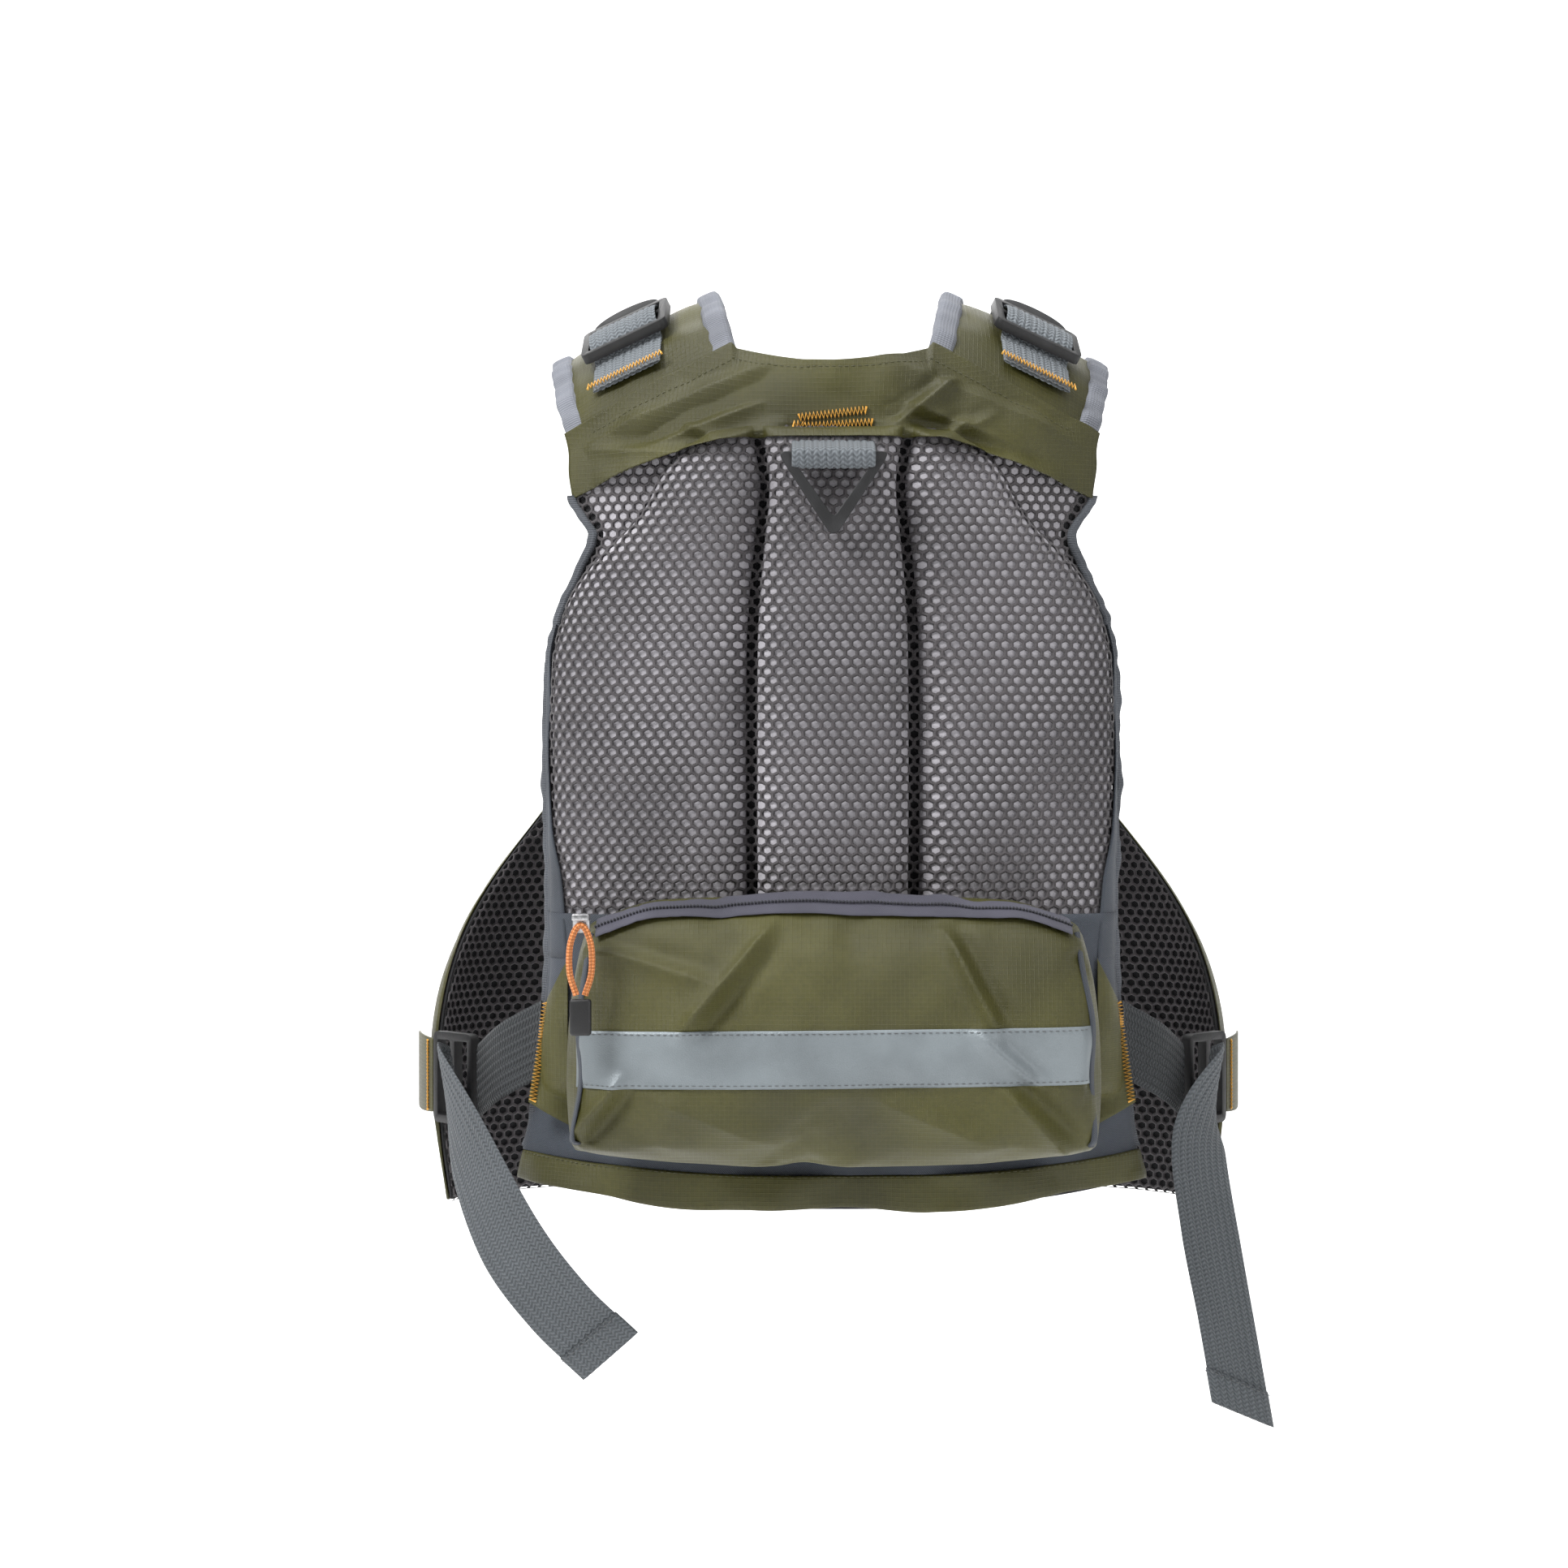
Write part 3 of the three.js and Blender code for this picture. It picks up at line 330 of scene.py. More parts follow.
def moulded(name, colour=(0.013, 0.013, 0.014)):
    def build(board, uv, place):
        grain = cloudiness(board, place, 1500, 4)
        wear = cloudiness(board, place, 60)
        dark, light = shades(colour, 0.8, 1.8)
        base = board.mix(wear.over(0.45, 0.8), dark, light)
        return {"Base Color": base, "Roughness": 0.34 + grain * 0.16 + wear * 0.08}, grain, 0.00012

    return surface(name, "black_plastic", build, Specular_IOR_Level=0.5)


def plated(name, colour=(0.50, 0.50, 0.51)):
    def build(board, uv, place):
        brushed = cloudiness(board, place, 700, 4)
        dark, light = shades(colour, 0.7, 1.2)
        base = board.mix(brushed.over(0.3, 0.7), dark, light)
        return {"Base Color": base, "Roughness": 0.24 + brushed * 0.2}, brushed, 0.00008

    return surface(name, "zip_metal", build, Metallic=1.0)


def braid(name, colour):
    """Braided cord: two spirals of strands and pale flecks where they cross."""

    def build(board, uv, place):
        u = uv.part(0) * (2 * math.pi)
        v = uv.part(1)
        left = (u * 4 + v * (2 * math.pi / 0.0031)).sine()
        right = (u * 4 - v * (2 * math.pi / 0.0031)).sine()
        strands = left * right
        fine = cloudiness(board, place, 1400, 2)
        dark, light = shades(colour, 0.62, 1.12)
        base = board.mix(strands.over(-0.7, 0.7), dark, light)
        base = board.mix(strands.over(0.72, 0.95) * 0.8, base, (0.90, 0.66, 0.42))
        return {"Base Color": base, "Roughness": 0.6 + fine * 0.2}, strands + fine * 0.3, 0.0007

    return surface(name, "orange_cord", build, Sheen_Weight=0.1)


def sewing_thread(name, colour):
    def build(board, uv, place):
        twist = board.add("ShaderNodeTexWave", {}, {"Vector": place, "Scale": 700, "Distortion": 3.0})
        dark, light = shades(colour, 0.85, 1.1)
        return {"Base Color": board.mix(twist, dark, light), "Roughness": 0.5 + twist * 0.15}, twist, 0.0002

    return surface(name, "orange_thread", build, Sheen_Weight=0.2)


def olive():
    return ripstop("olive ripstop", colours().olive)


def slate():
    return plain_weave("slate nylon", colours().slate)


def webbing():
    return strap_weave("grey webbing", colours().webbing)


def shoulder_webbing():
    return strap_weave("pale webbing", tuple(c * 1.75 for c in colours().webbing))


def side_webbing():
    return strap_weave("dark webbing", tuple(c * 0.34 for c in colours().webbing))


def thread():
    return sewing_thread("orange thread", colours().thread)


def grey_thread():
    return sewing_thread("grey thread", (0.10, 0.105, 0.11))


def pale_binding():
    return taped("pale binding", (0.19, 0.20, 0.23))


def dark_binding():
    return taped("dark binding", (0.085, 0.092, 0.105))


def lining():
    return plain_weave("dark lining", (0.012, 0.012, 0.014), slot="spacer_mesh", rough=0.7)


# ------------------------------------------------------------------ meshes
def new_object(name, mesh, material):
    piece = bpy.data.objects.new(name, mesh)
    bpy.context.scene.collection.objects.link(piece)
    mesh.materials.clear()
    mesh.materials.append(material)
    for polygon in mesh.polygons:
        polygon.use_smooth = True
    return piece


def mesh_from(name, points, faces, uvs=None):
    mesh = bpy.data.meshes.new(name)
    mesh.from_pydata([tuple(p) for p in points], [], faces)
    if uvs is not None:
        layer = mesh.uv_layers.new(name="cloth")
        for loop in mesh.loops:
            layer.data[loop.index].uv = uvs[loop.vertex_index]
    mesh.update()
    return mesh


def outward(mesh):
    """Turns a closed mesh so that its faces point out."""
    work = bmesh.new()
    work.from_mesh(mesh)
    if work.calc_volume(signed=True) < 0:
        bmesh.ops.reverse_faces(work, faces=work.faces)
    work.to_mesh(mesh)
    work.free()
    mesh.update()


def slab(name, inner, outer, uvs, material):
    """A closed sheet between two grids of points with the same rows and columns."""
    rows, columns = len(inner), len(inner[0])
    points = [p for row in inner for p in row] + [p for row in outer for p in row]
    flat = [uv for row in uvs for uv in row]
    count = rows * columns

    def at(layer, j, i):
        return layer * count + j * columns + i

    faces = []
    for j in range(rows - 1):
        for i in range(columns - 1):
            faces.append((at(1, j, i), at(1, j, i + 1), at(1, j + 1, i + 1), at(1, j + 1, i)))
            faces.append((at(0, j, i), at(0, j + 1, i), at(0, j + 1, i + 1), at(0, j, i + 1)))
    for i in range(columns - 1):
        faces.append((at(0, 0, i), at(0, 0, i + 1), at(1, 0, i + 1), at(1, 0, i)))
        faces.append((at(1, rows - 1, i), at(1, rows - 1, i + 1), at(0, rows - 1, i + 1), at(0, rows - 1, i)))
    for j in range(rows - 1):
        faces.append((at(0, j + 1, 0), at(0, j, 0), at(1, j, 0), at(1, j + 1, 0)))
        faces.append((at(1, j + 1, columns - 1), at(1, j, columns - 1), at(0, j, columns - 1), at(0, j + 1, columns - 1)))
    mesh = mesh_from(name, points, faces, flat + flat)
    outward(mesh)
    return new_object(name, mesh, material)


def sweep(name, path, sides, profile, material, ups=None):
    """A closed tube along path; each point has a side vector, and the profile is (side, up) offsets."""
    count = len(profile)
    points, uvs, faces = [], [], []
    girth = [0.0]
    for a, b in zip(profile, profile[1:] + profile[:1]):
        girth.append(girth[-1] + math.dist(a, b))
    run = 0.0
    for k, centre in enumerate(path):
        ahead = path[min(k + 1, len(path) - 1)] - path[max(k - 1, 0)]
        if k:
            run += (centre - path[k - 1]).length
        side = sides[k].normalized()
        up = ups[k].normalized() if ups else ahead.cross(side).normalized()
        side = (side - up * side.dot(up)).normalized()
        for index, (s, t) in enumerate(profile):
            points.append(centre + side * s + up * t)
            uvs.append((girth[index], run))
    for k in range(len(path) - 1):
        for i in range(count):
            n = (i + 1) % count
            faces.append((k * count + i, k * count + n, (k + 1) * count + n, (k + 1) * count + i))
    faces.append(tuple(range(count)))
    last = (len(path) - 1) * count
    faces.append(tuple(last + i for i in reversed(range(count))))
    mesh = mesh_from(name, points, faces, uvs)
    outward(mesh)
    return new_object(name, mesh, material)


def ribbed(width, thick, ribs):
    """The section of a strap: flat, with rounded lengthwise ribs on both faces."""
    steps = ribs * 6
    rise = sizes().rib_height
    half = width / 2
    top = []
    for k in range(steps + 1):
        share = k / steps
        edge = min(1.0, 6 * min(share, 1 - share) + 0.35)
        rib = abs(math.sin(math.pi * share * ribs)) ** 0.6
        top.append((half * (2 * share - 1), edge * (thick / 2 + rise * (rib - 0.5))))
    bottom = [(s, -t) for s, t in reversed(top)]
    return top + bottom


def flat_section(width, thick, bulge=0.0):
    half = width / 2
    steps = 10
    top = []
    for k in range(steps + 1):
        share = k / steps
        edge = math.sqrt(max(0.0, 1 - abs(2 * share - 1) ** 4))
        top.append((half * (2 * share - 1), thick / 2 * (0.25 + 0.75 * edge) + bulge * edge))
    return top + [(s, -t) for s, t in reversed(top)]


def round_section(radius, steps=12):
    return [(radius * math.cos(2 * math.pi * k / steps), radius * math.sin(2 * math.pi * k / steps)) for k in range(steps)]


def smooth_path(points, count):
    """Points on a Catmull-Rom curve through the given ones."""
    p = [Vector(q) for q in points]
    p = [p[0] * 2 - p[1]] + p + [p[-1] * 2 - p[-2]]
    made = []
    spans = len(p) - 3
    for k in range(count):
        t = k / (count - 1) * spans
        i = min(int(t), spans - 1)
        f = t - i
        a, b, c, d = p[i : i + 4]
        made.append(0.5 * ((2 * b) + (c - a) * f + (2 * a - 5 * b + 4 * c - d) * f * f + (3 * b - a - 3 * c + d) * f**3))
    return made


def soft_copy(name, node, material, levels=2, rim=0.6, plane="xz", shape=None):
    """A rounded, subdivided copy of a CAD node's mesh; shape(point, normal) moves each point."""
    work = bmesh.new()
    work.from_mesh(NODES[node].data)
    bmesh.ops.remove_doubles(work, verts=work.verts, dist=1e-5)
    bmesh.ops.join_triangles(work, faces=work.faces, angle_face_threshold=0.8, angle_shape_threshold=1.6)
    crease = work.edges.layers.float.new("crease_edge")
    for edge in work.edges:
        if edge.calc_face_angle(0) > 0.9:
            edge[crease] = rim
    mesh = bpy.data.meshes.new(name)
    work.to_mesh(mesh)
    work.free()
    outward(mesh)
    piece = new_object(name, mesh, material)
    subdivide(piece, levels)
    if shape:
        move_points(piece, shape)
    project_cloth(piece, plane)
    return piece


def subdivide(piece, levels):
    modifier = piece.modifiers.new("smooth", "SUBSURF")
    modifier.levels = modifier.render_levels = levels
    settle(piece)


def settle(piece):
    """Replaces the mesh by its evaluated shape and drops the modifiers."""
    bpy.context.view_layer.update()
    evaluated = piece.evaluated_get(bpy.context.evaluated_depsgraph_get())
    mesh = bpy.data.meshes.new_from_object(evaluated)
    old = piece.data
    piece.modifiers.clear()
    piece.data = mesh
    mesh.name = piece.name
    bpy.data.meshes.remove(old)
    for polygon in mesh.polygons:
        polygon.use_smooth = True


def move_points(piece, shape):
    mesh = piece.data
    mesh.update()
    moved = [v.co + shape(v.co.copy(), v.normal.copy()) for v in mesh.vertices]
    for vertex, place in zip(mesh.vertices, moved):
        vertex.co = place
    mesh.update()


def project_cloth(piece, plane):
    mesh = piece.data
    while mesh.uv_layers:
        mesh.uv_layers.remove(mesh.uv_layers[0])
    layer = mesh.uv_layers.new(name="cloth")
    first, second = ("xyz".index(letter) for letter in plane)
    for loop in mesh.loops:
        place = mesh.vertices[loop.vertex_index].co
        layer.data[loop.index].uv = (place[first], place[second])


def moulded_copy(name, node, material, bevel=0.0006, segments=2):
    """A copy of a hard CAD node with its edges rounded."""
    work = bmesh.new()
    work.from_mesh(NODES[node].data)
    bmesh.ops.remove_doubles(work, verts=work.verts, dist=1e-5)
    bmesh.ops.dissolve_limit(work, angle_limit=0.02, verts=work.verts, edges=work.edges)
    mesh = bpy.data.meshes.new(name)
    work.to_mesh(mesh)
    work.free()
    outward(mesh)
    piece = new_object(name, mesh, material)
    modifier = piece.modifiers.new("edges", "BEVEL")
    modifier.width = bevel
    modifier.segments = segments
    modifier.limit_method = "ANGLE"
    modifier.angle_limit = 0.5
    modifier.harden_normals = False
    settle(piece)
    project_cloth(piece, "xz")
    return piece


def joined(name, pieces):
    """One object made of several plain meshes."""
    target = pieces[0]
    if len(pieces) > 1:
        bpy.ops.object.select_all(action="DESELECT")
        for piece in pieces:
            piece.select_set(True)
        bpy.context.view_layer.objects.active = target
        bpy.ops.object.join()
    target.name = target.data.name = name
    return target


def surface_finder(piece):
    mesh = piece.data
    return BVHTree.FromPolygons([v.co for v in mesh.vertices], [tuple(p.vertices) for p in mesh.polygons])


# ------------------------------------------------------------------ what repeats
def path_object(name, chains):
    """Loose edges along each chain of points, for the trees that follow a path."""
    points, edges = [], []
    for chain in chains:
        start = len(points)
        points.extend(tuple(p) for p in chain)
        edges.extend((start + k, start + k + 1) for k in range(len(chain) - 1))
    mesh = bpy.data.meshes.new(name)
    mesh.from_pydata(points, edges, [])
    piece = bpy.data.objects.new(name, mesh)
    bpy.context.scene.collection.objects.link(piece)
    return piece


def new_tree(name, inputs):
    tree = bpy.data.node_groups.new(name, "GeometryNodeTree")
    tree.interface.new_socket("Geometry", in_out="INPUT", socket_type="NodeSocketGeometry")
    for label, kind, default in inputs:
        socket = tree.interface.new_socket(label, in_out="INPUT", socket_type=kind)
        if default is not None:
            socket.default_value = default
    tree.interface.new_socket("Geometry", in_out="OUTPUT", socket_type="NodeSocketGeometry")
    board = Board(tree)
    source = tree.nodes.new("NodeGroupInput")
    wires = {socket.name: Wire(board, socket) for socket in source.outputs if socket.name}
    return tree, board, wires


def close_tree(board, geometry, material):
    real = board.add("GeometryNodeRealizeInstances", {}, {"Geometry": geometry})
    smooth = board.add("GeometryNodeSetShadeSmooth", {}, {"Geometry": real})
    finished = board.add("GeometryNodeSetMaterial", {}, {"Geometry": smooth, "Material": material})
    sink = board.tree.nodes.new("NodeGroupOutput")
    board.tree.links.new(finished.socket, sink.inputs[0])


def grow(piece, tree, values):
    """Runs a tree on a piece with the named inputs set, and keeps its result as a plain mesh."""
    modifier = piece.modifiers.new(tree.name, "NODES")
    modifier.node_group = tree
    names = {item.name: item.identifier for item in tree.interface.items_tree if item.in_out == "INPUT"}
    for label, value in values.items():
        modifier[names[label]] = value
    settle(piece)
    return piece


TREES = {}


def row_tree():
    """Small rounded bars set end to end along paths: stitches and zip teeth."""
    if "row" in TREES:
        return TREES["row"]
    inputs = (
        ("Pitch", "NodeSocketFloat", 0.003),
        ("Size", "NodeSocketVector", (0.002, 0.0005, 0.0004)),
        ("Material", "NodeSocketMaterial", None),
    )
    tree, board, wire = new_tree("bars along a path", inputs)
    curve = board.add("GeometryNodeMeshToCurve", {}, {"Mesh": wire["Geometry"]})
    # Length mode puts one point every Pitch along the path.
    even = board.add("GeometryNodeResampleCurve", {"mode": "LENGTH"}, {"Curve": curve, "Length": wire["Pitch"]})
    bead = board.add("GeometryNodeMeshUVSphere", {}, {"Segments": 6, "Rings": 4, "Radius": 0.5})
    tangent = board.add("GeometryNodeInputTangent")
    turn = board.add("FunctionNodeAlignRotationToVector", {"axis": "X"}, {"Vector": tangent})
    bars = board.add(
        "GeometryNodeInstanceOnPoints",
        {},
        {"Points": even, "Instance": bead, "Rotation": turn, "Scale": wire["Size"]},
    )
    close_tree(board, bars, wire["Material"])
    TREES["row"] = tree
    return tree


def zigzag_tree():
    """A thread that swings from side to side along a path, as a bartack does."""
    if "zigzag" in TREES:
        return TREES["zigzag"]
    inputs = (
        ("Pitch", "NodeSocketFloat", 0.001),
        ("Swing", "NodeSocketFloat", 0.001),
        ("Facing", "NodeSocketVector", (0.0, 1.0, 0.0)),
        ("Thread", "NodeSocketFloat", 0.0004),
        ("Material", "NodeSocketMaterial", None),
    )
    tree, board, wire = new_tree("zigzag thread", inputs)
    curve = board.add("GeometryNodeMeshToCurve", {}, {"Mesh": wire["Geometry"]})
    even = board.add("GeometryNodeResampleCurve", {"mode": "LENGTH"}, {"Curve": curve, "Length": wire["Pitch"]})
    tangent = board.add("GeometryNodeInputTangent")
    aside = board.add("ShaderNodeVectorMath", {"operation": "CROSS_PRODUCT"}, {0: tangent, 1: wire["Facing"]})
    index = board.add("GeometryNodeInputIndex")
    odd = board.add("ShaderNodeMath", {"operation": "MODULO"}, {0: index, 1: 2.0})
    reach = (odd * 2 - 1) * wire["Swing"]
    offset = board.add("ShaderNodeVectorMath", {"operation": "SCALE"}, {0: aside, "Scale": reach})
    swung = board.add("GeometryNodeSetPosition", {}, {"Geometry": even, "Offset": offset})
    ring = board.add("GeometryNodeCurvePrimitiveCircle", {}, {"Resolution": 6, "Radius": wire["Thread"]})
    tube = board.add("GeometryNodeCurveToMesh", {}, {"Curve": swung, "Profile Curve": ring, "Fill Caps": True})
    close_tree(board, tube, wire["Material"])
    TREES["zigzag"] = tree
    return tree


def net_tree():
    """A knitted net of six-sided holes, laid on a sheet by the sheet's cloth map."""
    if "net" in TREES:
        return TREES["net"]
    inputs = (
        ("Pitch", "NodeSocketFloat", 0.0056),
        ("Row", "NodeSocketFloat", 0.0043),
        ("Hole", "NodeSocketFloat", 0.66),
        ("Thread", "NodeSocketFloat", 0.0005),
        ("Across", "NodeSocketInt", 10),
        ("Down", "NodeSocketInt", 10),
        ("Centre", "NodeSocketVector", (0.0, 0.0, 0.0)),
        ("Material", "NodeSocketMaterial", None),
    )
    tree, board, wire = new_tree("spacer net", inputs)

    def keep(geometry, name, kind, domain, value):
        settings = {"data_type": kind, "domain": domain}
        return board.add("GeometryNodeStoreNamedAttribute", settings, {"Geometry": geometry, "Name": name, "Value": value})

    def recall(name, kind):
        return board.add("GeometryNodeInputNamedAttribute", {"data_type": kind}, {"Name": name})

    position = board.add("GeometryNodeInputPosition")
    normal = board.add("GeometryNodeInputNormal")
    known = keep(wire["Geometry"], "rest", "FLOAT_VECTOR", "POINT", position)
    known = keep(known, "facing", "FLOAT_VECTOR", "POINT", normal)
    flat = board.add("GeometryNodeSetPosition", {}, {"Geometry": known, "Position": recall("cloth", "FLOAT_VECTOR")})
    width = (wire["Across"] - 1) * wire["Pitch"]
    height = (wire["Down"] - 1) * wire["Row"]
    plane = board.add(
        "GeometryNodeMeshGrid",
        {},
        {"Size X": width, "Size Y": height, "Vertices X": wire["Across"], "Vertices Y": wire["Down"]},
    )
    # Every second row moves half a pitch, so the cells pack like a honeycomb.
    line = position.part(1) / wire["Row"] + 1000.0
    whole = board.add("ShaderNodeMath", {"operation": "ROUND"}, {0: line})
    odd = board.add("ShaderNodeMath", {"operation": "MODULO"}, {0: whole, 1: 2.0})
    shift = board.add("ShaderNodeCombineXYZ", {}, {"X": odd * wire["Pitch"] * 0.5})
    staggered = board.add("GeometryNodeSetPosition", {}, {"Geometry": plane, "Offset": shift + wire["Centre"]})
    triangles = board.add("GeometryNodeTriangulate", {}, {"Mesh": staggered})
    cells = board.add("GeometryNodeDualMesh", {}, {"Mesh": triangles})
    near = board.make("GeometryNodeProximity", {"target_element": "FACES"}, {"Geometry": flat})
    away = Wire(board, near.outputs["Distance"]).over(0.00002, 0.00003)
    marked = keep(cells, "away", "FLOAT", "POINT", away)
    outside = board.add("FunctionNodeCompare", {"data_type": "FLOAT"}, {0: recall("away", "FLOAT"), 1: 0.75})
    kept = board.add("GeometryNodeDeleteGeometry", {"domain": "FACE"}, {"Geometry": marked, "Selection": outside})

    def sampled(name):
        node = board.make("GeometryNodeSampleNearestSurface", {"data_type": "FLOAT_VECTOR"}, {"Mesh": flat})
        board.tree.links.new(recall(name, "FLOAT_VECTOR").socket, node.inputs["Value"])
        return Wire(board, node.outputs["Value"])

    faced = keep(kept, "facing", "FLOAT_VECTOR", "POINT", sampled("facing"))
    laid = board.add("GeometryNodeSetPosition", {}, {"Geometry": faced, "Position": sampled("rest")})
    sides = board.add("GeometryNodeInputMeshEdgeNeighbors")
    lone = board.add("FunctionNodeCompare", {"data_type": "INT", "operation": "EQUAL"}, {2: sides, 3: 1})
    edged = keep(laid, "border", "BOOLEAN", "POINT", lone)
    extruded = board.make(
        "GeometryNodeExtrudeMesh",
        {"mode": "FACES"},
        {"Mesh": edged, "Offset Scale": 0.0, "Individual": True},
    )
    top = Wire(board, extruded.outputs["Top"])
    rimmed = keep(Wire(board, extruded.outputs["Mesh"]), "rim", "BOOLEAN", "POINT", top)
    inset = board.add(
        "GeometryNodeScaleElements",
        {"domain": "FACE"},
        {"Geometry": rimmed, "Selection": top, "Scale": wire["Hole"]},
    )
    rings = board.add("GeometryNodeDeleteGeometry", {"domain": "FACE"}, {"Geometry": inset, "Selection": top})
    rim = recall("rim", "BOOLEAN")
    border = recall("border", "BOOLEAN")
    ridge = (1 - rim) * (1 - border) * wire["Thread"]
    facing = recall("facing", "FLOAT_VECTOR")
    lift = board.add("ShaderNodeVectorMath", {"operation": "SCALE"}, {0: facing, "Scale": ridge})
    drop = board.add("ShaderNodeVectorMath", {"operation": "SCALE"}, {0: facing, "Scale": ridge * -1})
    front = board.add("GeometryNodeSetPosition", {}, {"Geometry": rings, "Offset": lift})
    rear = board.add("GeometryNodeSetPosition", {}, {"Geometry": rings, "Offset": drop})
    turned = board.add("GeometryNodeFlipFaces", {}, {"Mesh": rear})
    both = board.make("GeometryNodeJoinGeometry", {}, {})
    board.tree.links.new(front.socket, both.inputs[0])
    board.tree.links.new(turned.socket, both.inputs[0])
    welded = board.add("GeometryNodeMergeByDistance", {}, {"Geometry": Wire(board, both.outputs[0]), "Distance": 0.00001})
    close_tree(board, welded, wire["Material"])
    TREES["net"] = tree
    return tree


def stitches(name, chains, material, length=0.0021, width=0.00055, height=0.0005, pitch=None):
    piece = path_object(name, chains)
    values = {"Pitch": pitch or sizes().stitch_pitch, "Size": (length, width, height), "Material": material}
    return grow(piece, row_tree(), values)


def bartack(name, chains, facing, swing=0.0016, thick=0.00062):
    piece = path_object(name, chains)
    values = {
        "Pitch": sizes().tack_pitch,
        "Swing": swing,
        "Facing": tuple(facing),
        "Thread": thick,
        "Material": thread(),
    }
    return grow(piece, zigzag_tree(), values)


def net(name, sheet, material, hole=None):
    """Lays the net on a sheet that has a cloth map, and drops the sheet."""
    layer = sheet.data.uv_layers["cloth"].data
    coordinates = np.array([tuple(item.uv) for item in layer])
    low, high = coordinates.min(0), coordinates.max(0)
    s = sizes()
    values = {
        "Pitch": s.net_pitch,
        "Row": s.net_row,
        "Hole": hole or s.net_hole,
        "Thread": s.net_thread,
        "Across": int((high[0] - low[0]) / s.net_pitch) + 5,
        "Down": int((high[1] - low[1]) / s.net_row) + 5,
        "Centre": (float(low[0] + high[0]) / 2, float(low[1] + high[1]) / 2, 0.0),
        "Material": material,
    }
    sheet.name = name
    grow(sheet, net_tree(), values)
    clean(sheet)
    return sheet


def clean(piece):
    """Merges doubles and drops loose and flattened bits."""
    work = bmesh.new()
    work.from_mesh(piece.data)
    bmesh.ops.dissolve_degenerate(work, dist=1e-6, edges=work.edges)
    loose = [v for v in work.verts if not v.link_faces]
    bmesh.ops.delete(work, geom=loose, context="VERTS")
    work.to_mesh(piece.data)
    work.free()
    piece.data.update()


# ------------------------------------------------------------------ the torso form, in metres
HALF_WIDTH = 0.170
HALF_DEPTH = 0.112
FORM_POWER = 2.4
SHOULDER_RADIUS = 0.080
SHOULDER_SLOPE = 0.44
SHOULDER_TOP = (0.063, 0.021)
FABRIC = 0.0012
LAYER = 0.0004
FOAM_DEPTH = 0.020
# Each row of the back is (height in the middle, height at the side, half width).
BACK_ROWS = (
    (-0.020, -0.054, 0.128),
    (-0.038, -0.069, 0.128),
    (-0.057, -0.084, 0.126),
    (-0.080, -0.104, 0.116),
    (-0.105, -0.122, 0.124),
    (-0.132, -0.142, 0.133),
    (-0.160, -0.165, 0.138),
    (-0.190, -0.192, 0.139),
    (-0.220, -0.220, 0.139),
    (-0.250, -0.250, 0.139),
    (-0.270, -0.270, 0.138),
    (-0.310, -0.310, 0.138),
    (-0.345, -0.345, 0.141),
    (-0.380, -0.380, 0.145),
    (-0.414, -0.407, 0.150),
    (-0.415, -0.408, 0.150),
    (-0.432, -0.423, 0.153),
)
NECK_HALF_WIDTH = 0.047
NECK_SIDE = -0.013
YOKE_END = 2.0
FOAM_ROWS = (1.7, 13.0)
BASE_START = 10.0
HEM_START = 15.0
SEAM_U = 38 / 135
SEAM_GAP_U = 2.4 / 135


def shoulder_z(x):
    return SHOULDER_TOP[1] - SHOULDER_SLOPE * (abs(x) - SHOULDER_TOP[0])


def form_share(x):
    share = min(abs(x) / HALF_WIDTH, 0.99)
    return (1 - share**FORM_POWER) ** (1 / FORM_POWER)


def back_height(x, z):
    t = min(max((shoulder_z(x) - z) / SHOULDER_RADIUS, 0.02), 1)
    return HALF_DEPTH * form_share(x) * math.sqrt(1 - (1 - t) ** 2)


def back_normal(x, z):
    step = 0.004
    dx = (back_height(x + step, z) - back_height(x - step, z)) / (2 * step)
    dz = (back_height(x, z + step) - back_height(x, z - step)) / (2 * step)
    return Vector((-dx, 1, -dz)).normalized()


def row_values(v):
    k = min(int(v), len(BACK_ROWS) - 2)
    f = v - k
    a, b, c, d = (BACK_ROWS[min(max(i, 0), len(BACK_ROWS) - 1)] for i in (k - 1, k, k + 1, k + 2))
    values = []
    for p, q, r, s in zip(a, b, c, d):
        # A tangent that never runs past its neighbours keeps the rows in order.
        m0 = min(abs(q - p), abs(r - q)) * math.copysign(1, r - p) if (q - p) * (r - q) > 0 else 0
        m1 = min(abs(r - q), abs(s - r)) * math.copysign(1, s - q) if (r - q) * (s - r) > 0 else 0
        h = f * f * (3 - 2 * f)
        values.append(q + (r - q) * h + m0 * (f**3 - 2 * f * f + f) + m1 * (f**3 - f * f))
    return values


def back_xz(u, v):
    middle, edge, half = row_values(v)
    x = u * half
    out = abs(x)
    z = middle + (edge - middle) * max(0, (abs(u) - 0.3) / 0.7) ** 1.5
    if v < 1:
        top_half = BACK_ROWS[0][2]
        if out < NECK_HALF_WIDTH:
            top = BACK_ROWS[0][0] + (NECK_SIDE - BACK_ROWS[0][0]) * (out / NECK_HALF_WIDTH) ** 2
        else:
            top = NECK_SIDE + (BACK_ROWS[0][1] - NECK_SIDE) * (out - NECK_HALF_WIDTH) / (top_half - NECK_HALF_WIDTH)
        low_middle, low_edge, _ = BACK_ROWS[1]
        low = low_middle + (low_edge - low_middle) * max(0, (abs(u) - 0.3) / 0.7) ** 1.5
        z = top + (low - top) * v
    return x, z


def pillow(share, power):
    return math.sqrt(max(0.0, 1 - abs(2 * share - 1) ** power)) if 0 < share < 1 else 0.0


